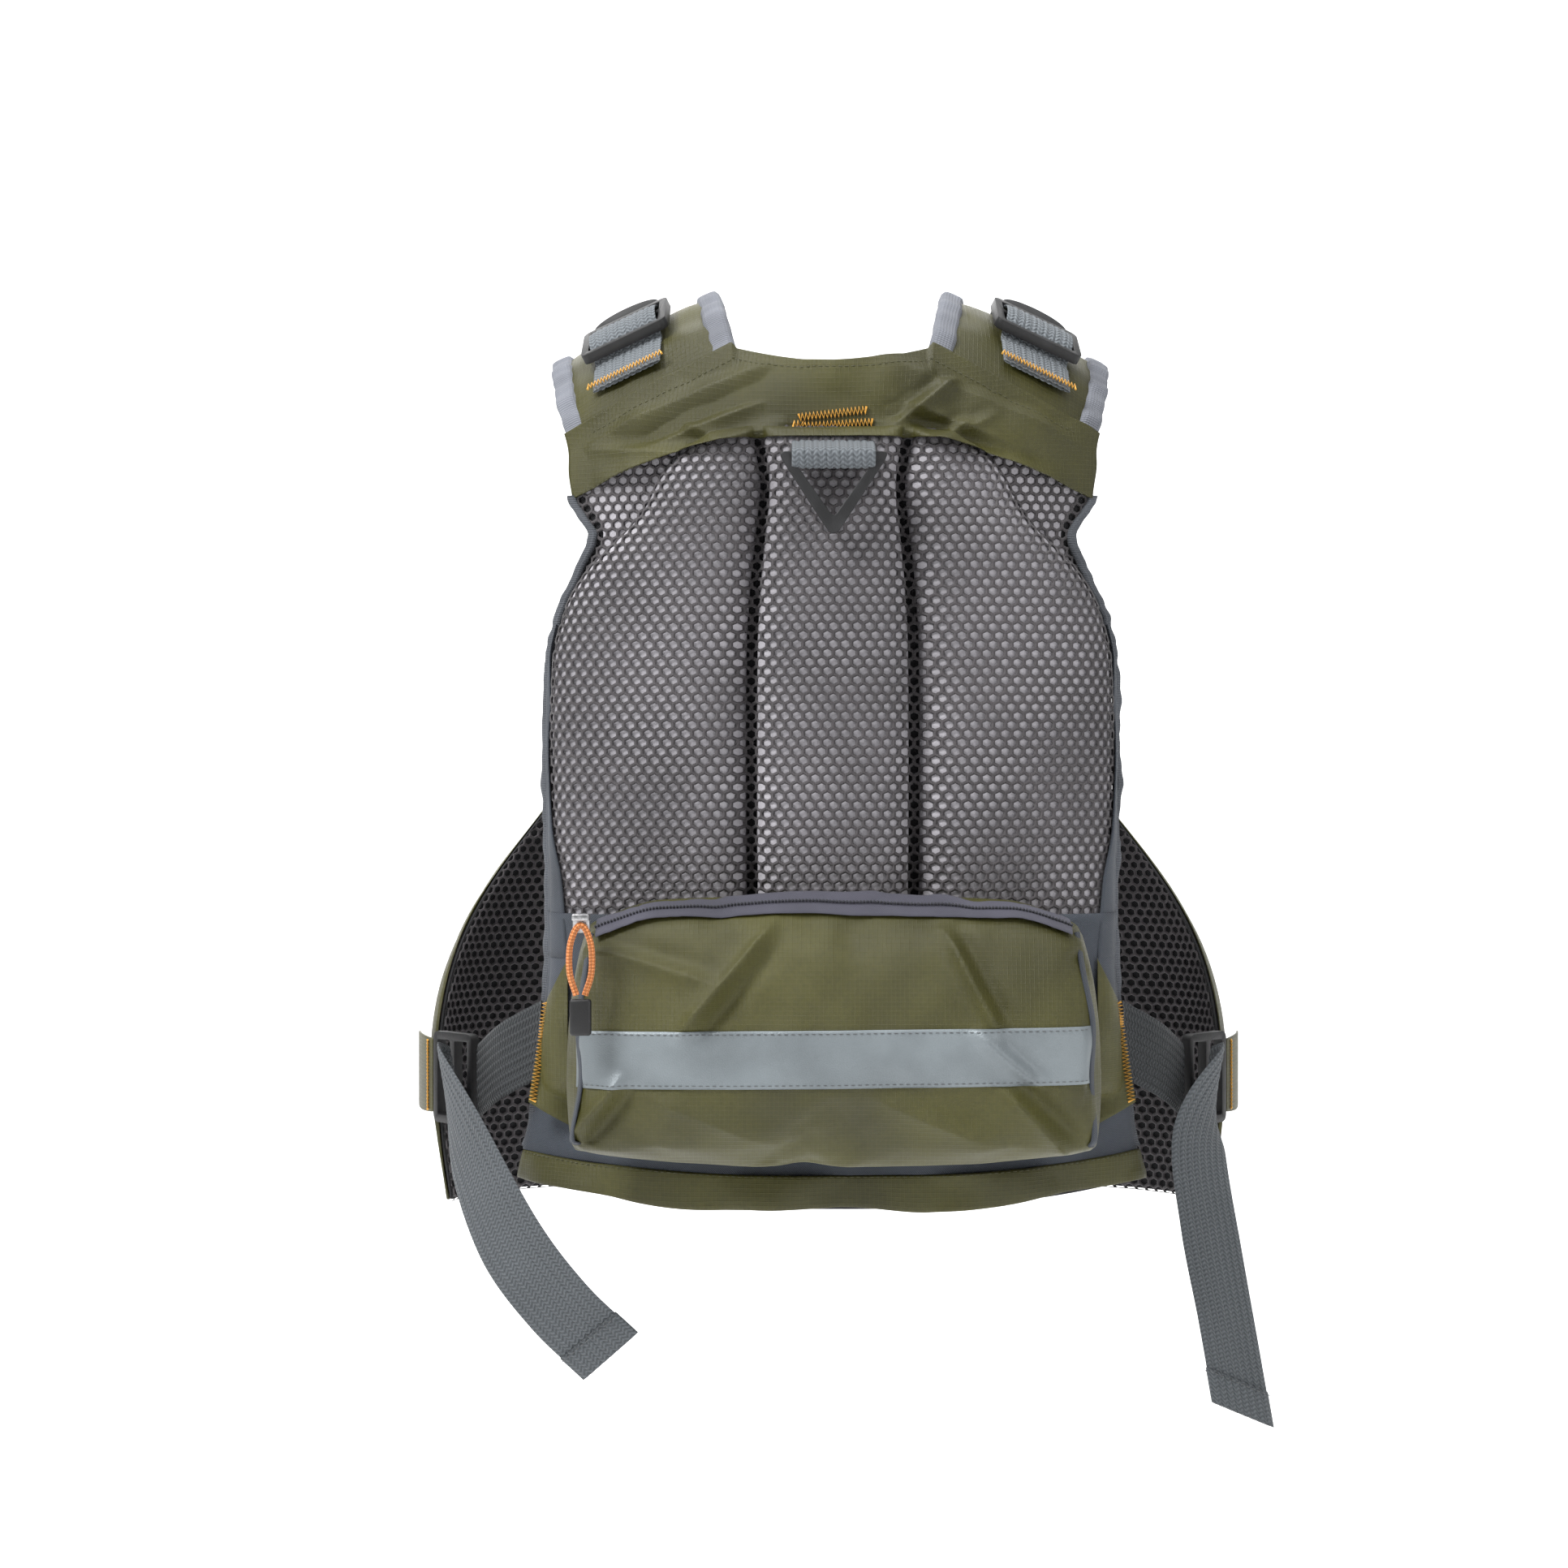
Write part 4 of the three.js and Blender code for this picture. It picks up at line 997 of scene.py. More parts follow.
def foam_depth(u, v):
    """How far the foam lifts the cloth: three pillows with sewn channels between them."""
    out = abs(u)
    low, high = SEAM_U - SEAM_GAP_U, SEAM_U + SEAM_GAP_U
    if out < low:
        across = pillow((u + low) / (2 * low), 7)
    else:
        across = pillow((out - high) / (0.965 - high), 5)
    top = foam_top(u)
    share = (v - top) / (FOAM_ROWS[1] - top)
    return FOAM_DEPTH * across * (pillow(share, 7) if share < 0.5 else pillow(share, 12))


def foam_top(u):
    """The row where the foam starts: under the yoke, and lower towards the armholes."""
    return FOAM_ROWS[0] + 2.3 * max(0.0, (abs(u) - 0.42) / 0.55) ** 1.6


def on_back(u, v, lift):
    x, z = back_xz(u, v)
    return Vector((x, back_height(x, z), z)) + back_normal(x, z) * lift


MESH_BOTTOM = FABRIC + 2 * LAYER
OVER = MESH_BOTTOM + FABRIC + LAYER


def cloth_lift(u, v):
    """Height of the outer cloth over the lining, drawn tight over the foam."""
    return OVER + max(foam_depth(u, v), foam_depth(u * 0.97, v) * 0.4)


def steps(low, high, count):
    return [low + (high - low) * k / (count - 1) for k in range(count)]


def back_map(us, vs):
    """Cloth coordinates of the back: distance round the form and height."""
    uvs = []
    for v in vs:
        x_row = [back_xz(u, v) for u in us]
        place = [Vector((x, back_height(x, z), z)) for x, z in x_row]
        run = [0.0]
        for a, b in zip(place, place[1:]):
            run.append(run[-1] + math.hypot(b.x - a.x, b.y - a.y))
        zero = np.interp(0, us, run)
        uvs.append([(r - zero, p.z) for r, p in zip(run, place)])
    return uvs


def back_piece(name, material, us, vs, lift, thick, fold=None):
    """A sheet of the back between two lifts over the form; fold(x, z) adds to the outer one."""
    inner, outer = [], []
    for v in vs:
        low, high = [], []
        for u in us:
            base = lift(u, v)
            x, z = back_xz(u, v)
            extra = fold(x, z) if fold else 0
            low.append(on_back(u, v, base + extra))
            high.append(on_back(u, v, base + extra + thick(u, v)))
        inner.append(low)
        outer.append(high)
    return slab(name, inner, outer, back_map(us, vs), material)


def crease(x, z, start, end, width, height):
    """A ridge from start to end, (x, z) each, that dies out at both ends."""
    ax, az = start
    dx, dz = end[0] - ax, end[1] - az
    length = dx * dx + dz * dz
    t = ((x - ax) * dx + (z - az) * dz) / length
    if t < -0.15 or t > 1.15:
        return 0.0
    away = abs((x - ax) * dz - (z - az) * dx) / math.sqrt(length)
    ends = min(1, max(0, t + 0.15) / 0.3) * min(1, max(0, 1.15 - t) / 0.3)
    side = 1 if (x - ax) * dz - (z - az) * dx > 0 else -1
    sharp = math.exp(-((away / width) ** 1.3)) - 0.45 * math.exp(-((away / width - 1.6) ** 2)) * (side + 1) / 2
    return height * sharp * ends


def rumple(x, z, scale, height, seed=0.0):
    return height * noise.noise(Vector((x * scale, z * scale, seed)))


# ------------------------------------------------------------------ shoulders
STRAP_X = 0.098
WEB_WIDTH = 0.038
WEB_THICK = 0.0016
WEB_LIFT = 0.0085
LOCK_ANGLE = 0.55
YOKE_WEB_ANGLE = 0.92


def on_shoulder(x, angle, lift=0.0):
    depth = HALF_DEPTH * form_share(x)
    place = Vector((x, depth * math.sin(angle), shoulder_z(x) - SHOULDER_RADIUS * (1 - math.cos(angle))))
    if not lift:
        return place
    return place + shoulder_frame(x, angle)[2] * lift


def shoulder_frame(x, angle):
    across = (on_shoulder(x + 0.001, angle) - on_shoulder(x - 0.001, angle)).normalized()
    along = (on_shoulder(x, angle + 0.02) - on_shoulder(x, angle - 0.02)).normalized()
    up = along.cross(across).normalized()
    if up.z < 0:
        up.negate()
    return across, along, up


def angle_at(x, z):
    return math.acos(min(max(1 - (shoulder_z(x) - z) / SHOULDER_RADIUS, -1), 1))


def shoulder_strap(name, side, start, end, lift, material, count=28, width=WEB_WIDTH, wave=0.0):
    path, across = [], []
    for k, angle in enumerate(steps(start, end, count)):
        rise = lift + wave * math.sin(math.pi * k / (count - 1))
        path.append(on_shoulder(STRAP_X * side, angle, rise + WEB_THICK / 2))
        across.append(shoulder_frame(STRAP_X * side, angle)[0])
    return sweep(name, path, across, ribbed(width, WEB_THICK, sizes().web_ribs + 3), material)


# ------------------------------------------------------------------ cloth pressure
def inflate(piece, cap, pressure=4.0, voxel=0.005):
    """Swells a closed soft piece with a short cloth run, then smooths it."""
    modifier = piece.modifiers.new("remesh", "REMESH")
    modifier.mode = "VOXEL"
    modifier.voxel_size = voxel
    settle(piece)
    start = np.array([v.co[:] for v in piece.data.vertices])
    scene = bpy.context.scene
    cloth = piece.modifiers.new("swell", "CLOTH")
    cloth.settings.use_pressure = True
    cloth.settings.uniform_pressure_force = pressure
    cloth.settings.effector_weights.gravity = 0
    cloth.settings.quality = 5
    cloth.settings.mass = 0.3
    cloth.settings.tension_stiffness = 25
    cloth.settings.compression_stiffness = 25
    cloth.settings.bending_stiffness = 0.4
    cloth.collision_settings.use_collision = False
    cloth.point_cache.frame_start = 1
    cloth.point_cache.frame_end = 20
    for number in range(1, 21):
        scene.frame_set(number)
    settle(piece)
    scene.frame_set(1)
    moved = np.array([v.co[:] for v in piece.data.vertices]) - start
    reach = np.linalg.norm(moved, axis=1)
    share = np.minimum(1, cap / np.maximum(reach, 1e-9))
    place = start + moved * share[:, None]
    for vertex, co in zip(piece.data.vertices, place):
        vertex.co = co
    piece.data.update()
    subdivide(piece, 1)
    return piece


# ------------------------------------------------------------------ operators
class VestOperator(bpy.types.Operator):
    bl_options = {"REGISTER", "UNDO"}

    def execute(self, context):
        self.build()
        return {"FINISHED"}


class VEST_OT_stage(VestOperator):
    """Sets the floor, the lights and the camera"""

    bl_idname = "vest.stage"
    bl_label = "Stage"

    def build(self):
        scene = bpy.context.scene
        camera = bpy.data.objects.new("camera", bpy.data.cameras.new("camera"))
        scene.collection.objects.link(camera)
        camera.location = (0.0237, 1.64, -0.225)
        camera.rotation_euler = (math.pi / 2, 0, math.pi)
        camera.data.lens = 72
        camera.data.sensor_width = 36
        scene.camera = camera
        world = bpy.data.worlds.new("studio")
        world.use_nodes = True
        world.node_tree.nodes["Background"].inputs["Color"].default_value = (1, 1, 1, 1)
        world.node_tree.nodes["Background"].inputs["Strength"].default_value = 0.46
        scene.world = world
        scene.view_settings.view_transform = "Standard"
        self.lamp("key", (1.5, 1.3, 1.6), 0.9, 66)
        self.lamp("fill", (-1.8, 1.6, 0.4), 1.4, 12)
        self.lamp("top", (0.0, 0.1, 2.3), 1.6, 36)
        self.lamp("front", (0.4, -2.2, 0.9), 1.8, 18)
        self.lamp("wall", (0.0, -1.2, 1.6), 2.0, 60, (0.0, -3.2, 0.2))
        # The floor turns up far behind the vest into a pale wall.
        profile = [(4.0, -0.72), (-1.2, -0.72), (-2.2, -0.66), (-2.9, -0.35), (-3.2, 0.3), (-3.3, 3.5)]
        path = smooth_path([(0, y, z) for y, z in profile], 40)
        points = [(x, p.y, p.z) for p in path for x in (-5, 5)]
        faces = [(2 * k, 2 * k + 1, 2 * k + 3, 2 * k + 2) for k in range(len(path) - 1)]

        def paper(board, uv, place):
            grain = cloudiness(board, place, 60)
            return {"Base Color": board.mix(grain, (0.93, 0.93, 0.93), (0.96, 0.96, 0.96)), "Roughness": 0.8}, None, 0

        floor = new_object("floor", mesh_from("floor", points, faces), surface("paper", "stage", paper))

    def lamp(self, name, place, size, power, aim=(0.0, 0.0, -0.25)):
        light = bpy.data.objects.new(name, bpy.data.lights.new(name, "AREA"))
        bpy.context.scene.collection.objects.link(light)
        light.data.size = size
        light.data.energy = power
        light.location = place
        light.rotation_euler = (Vector(aim) - Vector(place)).to_track_quat("-Z", "Y").to_euler()


class VEST_OT_pull(VestOperator):
    """Makes the zip slider, its cord loop and the moulded end"""

    bl_idname = "vest.pull"
    bl_label = "Zip pull"

    def build(self):
        low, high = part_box("pouch_pull_cord")
        x = (low.x + high.x) / 2
        y = (low.y + high.y) / 2
        top = high.z - 0.0001
        radius = 0.0015
        end_z = top - 0.034
        down = [(0.0026, -0.004), (0.005, -0.0119), (0.005, -0.0238), (0.002, -0.034)]
        route = [(x - out, y, top + fall) for out, fall in reversed(down)]
        route.append((x, y, top - 0.0016))
        route += [(x + out, y, top + fall) for out, fall in down]
        path = smooth_path(route, 60)
        sides = [Vector((0, 1, 0))] * len(path)
        loop = sweep("pull_cord", path, sides, round_section(radius, 14), braid("orange cord", colours().cord))
        self.round_map(loop, 14)
        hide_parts("pouch_pull_cord")
        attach(loop, "pouch_pull")
        grip = moulded_copy("pull_end", "pouch_pull_end", moulded("black plastic"), 0.0014, 3)
        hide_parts("pouch_pull_end")
        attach(grip, "pouch_pull")
        slider = moulded_copy("zip_slider", "pouch_zip_slider", plated("plated metal"), 0.0005, 2)
        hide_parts("pouch_zip_slider")
        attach(slider, "pouch_slider")

    def round_map(self, piece, count):
        """u goes once round the cord."""
        mesh = piece.data
        layer = mesh.uv_layers["cloth"].data
        for loop in mesh.loops:
            place = layer[loop.index].uv
            layer[loop.index].uv = ((loop.vertex_index % count) / count, place[1])


class VEST_OT_back(VestOperator):
    """Makes the lining, the foam and the net of the back"""

    bl_idname = "vest.back"
    bl_label = "Back"

    def build(self):
        us = steps(-1, 1, 81)
        vs = steps(0, 16, 90)
        inner = back_piece("back_lining_cloth", lining(), us, vs, lambda u, v: 0, lambda u, v: FABRIC)
        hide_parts("back_lining")
        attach(inner, "root")
        self.foam()
        self.net()

    def foam(self):
        low, high = SEAM_U - SEAM_GAP_U, SEAM_U + SEAM_GAP_U
        spans = {
            "back_foam_centre": (-low + 0.002, low - 0.002),
            "back_foam_left": (high + 0.002, 0.963),
            "back_foam_right": (-0.963, -high - 0.002),
        }
        for node, (start, end) in spans.items():
            us = steps(start, end, 50)
            vs = steps(FOAM_ROWS[0] + 0.04, FOAM_ROWS[1] - 0.04, 130)
            foam = cell_foam("pale foam", colours().foam)
            bottom = FABRIC + LAYER
            piece = back_piece(
                node.replace("back_foam", "foam_panel"),
                foam,
                us,
                vs,
                lambda u, v: bottom,
                lambda u, v: max(foam_depth(u, v) - 0.0004, 0.0006),
            )
            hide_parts(node)
            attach(piece, "root")

    def net(self):
        us = steps(-1, 1, 181)
        vs = steps(0.9, 10.6, 150)
        points, uvs = [], back_map(us, vs)
        for v in vs:
            for u in us:
                points.append(on_back(u, v, MESH_BOTTOM + FABRIC / 2 + foam_depth(u, v)))
        columns = len(us)
        faces = [
            (j * columns + i, (j + 1) * columns + i, (j + 1) * columns + i + 1, j * columns + i + 1)
            for j in range(len(vs) - 1)
            for i in range(columns - 1)
        ]
        sheet_mesh = mesh_from("back_net", points, faces, [uv for row in uvs for uv in row])
        sheet = new_object("back_net", sheet_mesh, lining())
        if sheet_mesh.polygons[len(faces) // 2].normal.y < 0:
            sheet_mesh.flip_normals()
        piece = net("back_net", sheet, knit("net thread", colours().net))
        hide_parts("back_mesh")
        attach(piece, "root")


class VEST_OT_yoke(VestOperator):
    """Makes the yoke with its folds and its two centre bartacks"""

    bl_idname = "vest.yoke"
    bl_label = "Yoke"

    def lift(self, u, v):
        return OVER + foam_depth(u, v) + 0.004 * max(0.0, 1 - v / 0.7) ** 2 * (abs(u) > 0.36)

    def fold(self, x, z):
        h = sizes().fold_height
        total = rumple(x, z, 26, h * 0.55, 2.0) + rumple(x, z, 60, h * 0.25, 5.0)
        for side in (1, -1):
            total += crease(x, z, (0.030 * side, -0.052), (0.105 * side, -0.075), 0.0045, h * 0.75)
            total += crease(x, z, (0.030 * side, -0.022), (0.115 * side, -0.058), 0.0055, h * 0.6)
            total += crease(x, z, (0.085 * side, -0.060), (0.034 * side, -0.040), 0.0035, h * 0.55)
            total += crease(x, z, (0.040 * side, -0.064), (0.075 * side, -0.048), 0.003, h * 0.35)
        # The right side is bunched up beside the ring.
        total += crease(x, z, (-0.030, -0.050), (-0.058, -0.030), 0.0035, h * 0.8)
        total += crease(x, z, (-0.044, -0.060), (-0.064, -0.050), 0.003, h * 0.6)
        total += crease(x, z, (0.112, -0.062), (0.045, -0.066), 0.004, h * 0.55)
        return max(total, -0.0004)

    def build(self):
        us = steps(-1, 1, 221)
        vs = steps(0, YOKE_END, 61)
        yoke = back_piece("yoke", olive(), us, vs, self.lift, lambda u, v: FABRIC, self.fold)
        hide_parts("back_yoke")
        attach(yoke, "root")
        finder = surface_finder(yoke)

        def lay(x, z, lift=0.0009):
            hit = finder.ray_cast(Vector((x, 0.4, z)), Vector((0, -1, 0)))
            return hit[0] + hit[1] * lift

        rows = ((-0.0470, -0.0435, 0.0165), (-0.0515, -0.0495, 0.0195))
        chains = []
        for left_z, right_z, half in rows:
            chains.append([lay(x, left_z + (right_z - left_z) * (half - x) / (2 * half)) for x in steps(half, -half, 30)])
        tacks = bartack("yoke_bartacks", chains, BACKWARD, 0.0018)
        self.finish(tacks, "orange_thread")
        edges = []
        for v in (YOKE_END - 0.07,):
            edges.append([self.on_cloth(finder, *back_xz(u, v)) for u in steps(-0.985, 0.985, 160)])
        edges.append([self.on_cloth(finder, *back_xz(u, 0.09)) for u in steps(-0.93, 0.93, 160)])
        seam = stitches("yoke_stitches", edges, sewing_thread("olive thread", (0.07, 0.068, 0.02)))
        self.finish(seam, "olive_ripstop")

    def on_cloth(self, finder, x, z):
        hit = finder.find_nearest(Vector((x, back_height(x, z) + 0.01, z)))
        return hit[0] + hit[1] * 0.0001

    def finish(self, piece, slot):
        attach(piece, "root")


class VEST_OT_base(VestOperator):
    """Makes the base panel, the hem band and the side strips"""

    bl_idname = "vest.base"
    bl_label = "Base panel and hem"

    def build(self):
        us = steps(-1, 1, 161)

        def wave(x, z):
            return max(rumple(x, z, 30, 0.0022, 8.0), -0.0003)

        panel = back_piece(
            "base_panel", slate(), us, steps(BASE_START + 0.5, 14.9, 60), cloth_lift, lambda u, v: FABRIC, wave
        )
        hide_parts("back_base_panel")
        hem = back_piece(
            "hem", olive(), us, steps(HEM_START, 16, 16), lambda u, v: OVER + 0.0006, self.hem_thickness, self.hem_wave
        )
        move_points(hem, self.hem_edge)
        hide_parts("hem_band")
        for piece, slot in ((panel, "slate_nylon"), (hem, "olive_ripstop")):
            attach(piece, "root")
        for name, side in SIDES:
            strip = self.side_strip(name, side)
            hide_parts(f"side_strip_{name}")
            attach(strip, "root")
        chain = [on_back(u, HEM_START + 0.12, OVER + 0.0034 + self.hem_wave(*back_xz(u, HEM_START))) for u in steps(-0.99, 0.99, 170)]
        seam = stitches("hem_stitches", [chain], sewing_thread("olive thread", (0.07, 0.068, 0.02)))
        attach(seam, "root")

    def side_strip(self, name, side):
        """A strip along the armhole that widens downwards to the base panel."""
        inner, outer, uvs = [], [], []
        for v in steps(5.2, BASE_START + 1.0, 50):
            share = (v - 5.2) / (BASE_START - 4.2)
            us = steps(side * (0.985 - 0.13 * share**1.3), side, 12)
            lift = [cloth_lift(u, v) for u in us]
            inner.append([on_back(u, v, a) for u, a in zip(us, lift)])
            outer.append([on_back(u, v, a + FABRIC) for u, a in zip(us, lift)])
            uvs.append([(back_xz(u, v)[0] * 1.5, back_xz(u, v)[1]) for u in us])
        return slab(f"side_edge_{name}", inner, outer, uvs, slate())

    def hem_thickness(self, u, v):
        share = (v - HEM_START) / 1.0
        return FABRIC + 0.0016 * pillow(share, 3)

    def hem_edge(self, place, normal):
        """The hem's lower edge hangs in slow waves."""
        low = min(1.0, max(0.0, -0.416 - place.z) / 0.016)
        return UP * low * (0.0016 * math.sin(place.x * 47 + 1) + rumple(place.x, 0, 21, 0.003, 7.0))

    def hem_wave(self, x, z):
        return max(0.0022 * math.sin(x * 62) + rumple(x, z, 48, 0.0034, 3.0), -0.0008)


# The creases of the pouch, each (start, end, width, height) with (x, z) points.
POUCH_CREASES = (
    ((0.031, -0.294), (0.071, -0.340), 0.0065, 1.0),
    ((-0.053, -0.297), (-0.076, -0.341), 0.0060, 1.1),
    ((-0.067, -0.342), (-0.093, -0.365), 0.0055, 0.8),
    ((-0.079, -0.368), (-0.108, -0.399), 0.0065, 1.0),
    ((0.100, -0.364), (0.121, -0.393), 0.0060, 1.0),
    ((0.118, -0.300), (0.060, -0.318), 0.0060, 0.6),
    ((-0.020, -0.372), (-0.070, -0.392), 0.0080, 0.5),
    ((0.085, -0.372), (0.030, -0.392), 0.0080, 0.4),
)


def corner_drop(x):
    """How far the pouch's top edge falls towards its two corners."""
    return 0.012 * min(1.0, max(0.0, abs(x) - 0.085) / 0.04) ** 1.5


class VEST_OT_pouch(VestOperator):
    """Makes the back pouch with its zip, tape and creases"""

    bl_idname = "vest.pouch"
    bl_label = "Pouch"

    def shape(self, place, normal):
        h = sizes().fold_height
        facing = max(0.0, normal.y)
        total = rumple(place.x, place.z, 22, h * 0.5, 1.0) + rumple(place.x, place.z, 55, h * 0.2, 4.0)
        for start, end, width, height in POUCH_CREASES:
            total += crease(place.x, place.z, start, end, width * 0.72, h * 1.05 * height)
        low, high = self.box
        drop = ((low.z + high.z) / 2 - place.z) / (high.z - low.z)
        flare = 0.010 * drop * (place.x / high.x) ** 3
        lower = corner_drop(place.x) * max(0.0, -2 * drop) ** 2
        return normal * total * facing + RIGHT * flare - UP * lower

    def build(self):
        self.box = low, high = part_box("back_pouch")
        work = bmesh.new()
        work.from_mesh(NODES["back_pouch"].data)
        bmesh.ops.remove_doubles(work, verts=work.verts, dist=1e-5)
        hull = bmesh.ops.convex_hull(work, input=work.verts)
        spare = [g for g in hull["geom_interior"] + hull["geom_unused"] if isinstance(g, bmesh.types.BMVert)]
        bmesh.ops.delete(work, geom=spare, context="VERTS")
        keep = {g for g in hull["geom"] if isinstance(g, bmesh.types.BMFace)}
        bmesh.ops.delete(work, geom=[f for f in work.faces if f not in keep], context="FACES_ONLY")
        centre = (low + high) / 2
        bmesh.ops.scale(work, vec=(0.975, 0.93, 0.955), space=Matrix.Translation(-centre), verts=work.verts)
        mesh = bpy.data.meshes.new("pouch")
        work.to_mesh(mesh)
        work.free()
        outward(mesh)
        pouch = new_object("pouch", mesh, olive())
        inflate(pouch, 0.007, 3.0, 0.0045)
        subdivide(pouch, 1)
        move_points(pouch, self.shape)
        project_cloth(pouch, "xz")
        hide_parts("back_pouch")
        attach(pouch, "root")
        self.finder = surface_finder(pouch)
        self.tape(low, high)
        self.zip(low, high)
        self.gussets(low, high)

    def lay(self, x, z, lift):
        hit = self.finder.ray_cast(Vector((x, 0.4, z)), Vector((0, -1, 0)))
        if hit[0] is None:
            near = self.finder.find_nearest(Vector((x, 0.17, z)))
            return near[0] + near[1] * lift
        return hit[0] + Vector((0, 1, 0)) * lift

    def tape(self, low, high):
        box_low, box_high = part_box("reflective_strip")
        xs = steps(box_low.x, box_high.x, 140)
        drift = 0.0022
        rows = steps(box_high.z + 0.001, box_low.z - 0.001, 18)
        under, over, uvs = [], [], []
        for z in rows:
            line = [z - drift * (x - box_low.x) / (box_high.x - box_low.x) + drift / 2 for x in xs]
            under.append([self.lay(x, zz, -0.0002) for x, zz in zip(xs, line)])
            over.append([self.lay(x, zz, 0.0009) for x, zz in zip(xs, line)])
            uvs.append([(x, z) for x in xs])
        strip = slab("reflective_tape", under, over, uvs, silver_tape("silver tape", colours().tape))
        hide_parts("reflective_strip")
        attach(strip, "root")
        chains = []
        for row in (1, len(rows) - 2):
            chains.append([p + Vector((0, 0.0002, 0)) for p in over[row][2:-2]])
        seam = stitches("tape_stitches", chains, grey_thread(), 0.0021, 0.0005, 0.0004)
        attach(seam, "root")

    def zip(self, low, high):
        """The zip tape rolls over the pouch's top edge, with a coil along its middle."""
        xs = steps(low.x + 0.012, high.x - 0.012, 90)
        path, sides, ups = [], [], []
        for x in xs:
            share = (x - low.x) / (high.x - low.x)
            z = high.z + 0.001 + 0.002 * (1 - share) - corner_drop(x)
            hit = self.finder.find_nearest(Vector((x, 0.163, z)))
            path.append(hit[0] + hit[1] * 0.0008)
            ups.append(hit[1])
            sides.append(Vector((1, 0, 0)).cross(hit[1]))
        band = sweep("zip_tape", path, sides, flat_section(0.0175, 0.0012), plain_weave("zip tape", (0.075, 0.074, 0.100), 0.0009), ups)
        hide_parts("pouch_zip_tape")
        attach(band, "root")
        teeth = stitches(
            "zip_coil",
            [[p + u.normalized() * 0.0011 for p, u in zip(path, ups)]],
            plain_weave("zip coil", (0.03, 0.031, 0.038), 0.0009),
            0.0012,
            0.0042,
            0.0016,
            sizes().tooth_pitch,
        )
        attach(teeth, "root")

    def gussets(self, low, high):
        pieces = []
        for side, x in (("left", high.x - 0.004), ("right", low.x + 0.004)):
            zs = steps(high.z - 0.006, low.z + 0.006, 40)
            path, ups = [], []
            for z in zs:
                near = self.finder.find_nearest(Vector((x, 0.168, z)))
                path.append(near[0] + near[1] * 0.0003)
                ups.append(near[1])
            path = smooth_path(path[::9] + path[-1:], len(path))
            ups = smooth_path(ups[::9] + ups[-1:], len(ups))
            sides = [UP.cross(up) for up in ups]
            pieces.append(sweep(f"pouch_piping_{side}", path, sides, flat_section(0.0044, 0.0016), slate(), ups))
        piping = joined("pouch_piping", pieces)
        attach(piping, "root")


class VEST_OT_ring(VestOperator):
    """Makes the triangle ring and the webbing tab that holds it"""

    bl_idname = "vest.ring"
    bl_label = "Net ring"

    def build(self):
        ring = moulded_copy("net_ring", "triangle_ring", moulded("black plastic"), 0.0011, 3)
        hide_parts("triangle_ring")
        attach(ring, "net_ring")
        low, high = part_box("triangle_ring")
        bar_z = high.z - 0.0026
        y = (low.y + high.y) / 2
        around = 0.0040
        under = on_back(0, YOKE_END - 0.15, OVER - 0.0008 + foam_depth(0, YOKE_END - 0.15)).y
        path = [
            (0, under - 0.003, bar_z + 0.017),
            (0, under, bar_z + 0.0105),
            (0, y + around - 0.0022, bar_z + 0.004),
            (0, y + around + 0.0004, bar_z - 0.0004),
            (0, y + 0.001, bar_z - around - 0.0008),
            (0, y - around - 0.0008, bar_z),
            (0, y - around - 0.0012, bar_z + 0.005),
        ]
        path = smooth_path(path, 50)
        tab = sweep("ring_loop", path, [RIGHT] * len(path), ribbed(0.040, 0.0012, 12), webbing_pale())
        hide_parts("ring_tab")
        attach(tab, "root")


def webbing_pale():
    return strap_weave("tab webbing", tuple(c * 1.5 for c in colours().webbing))


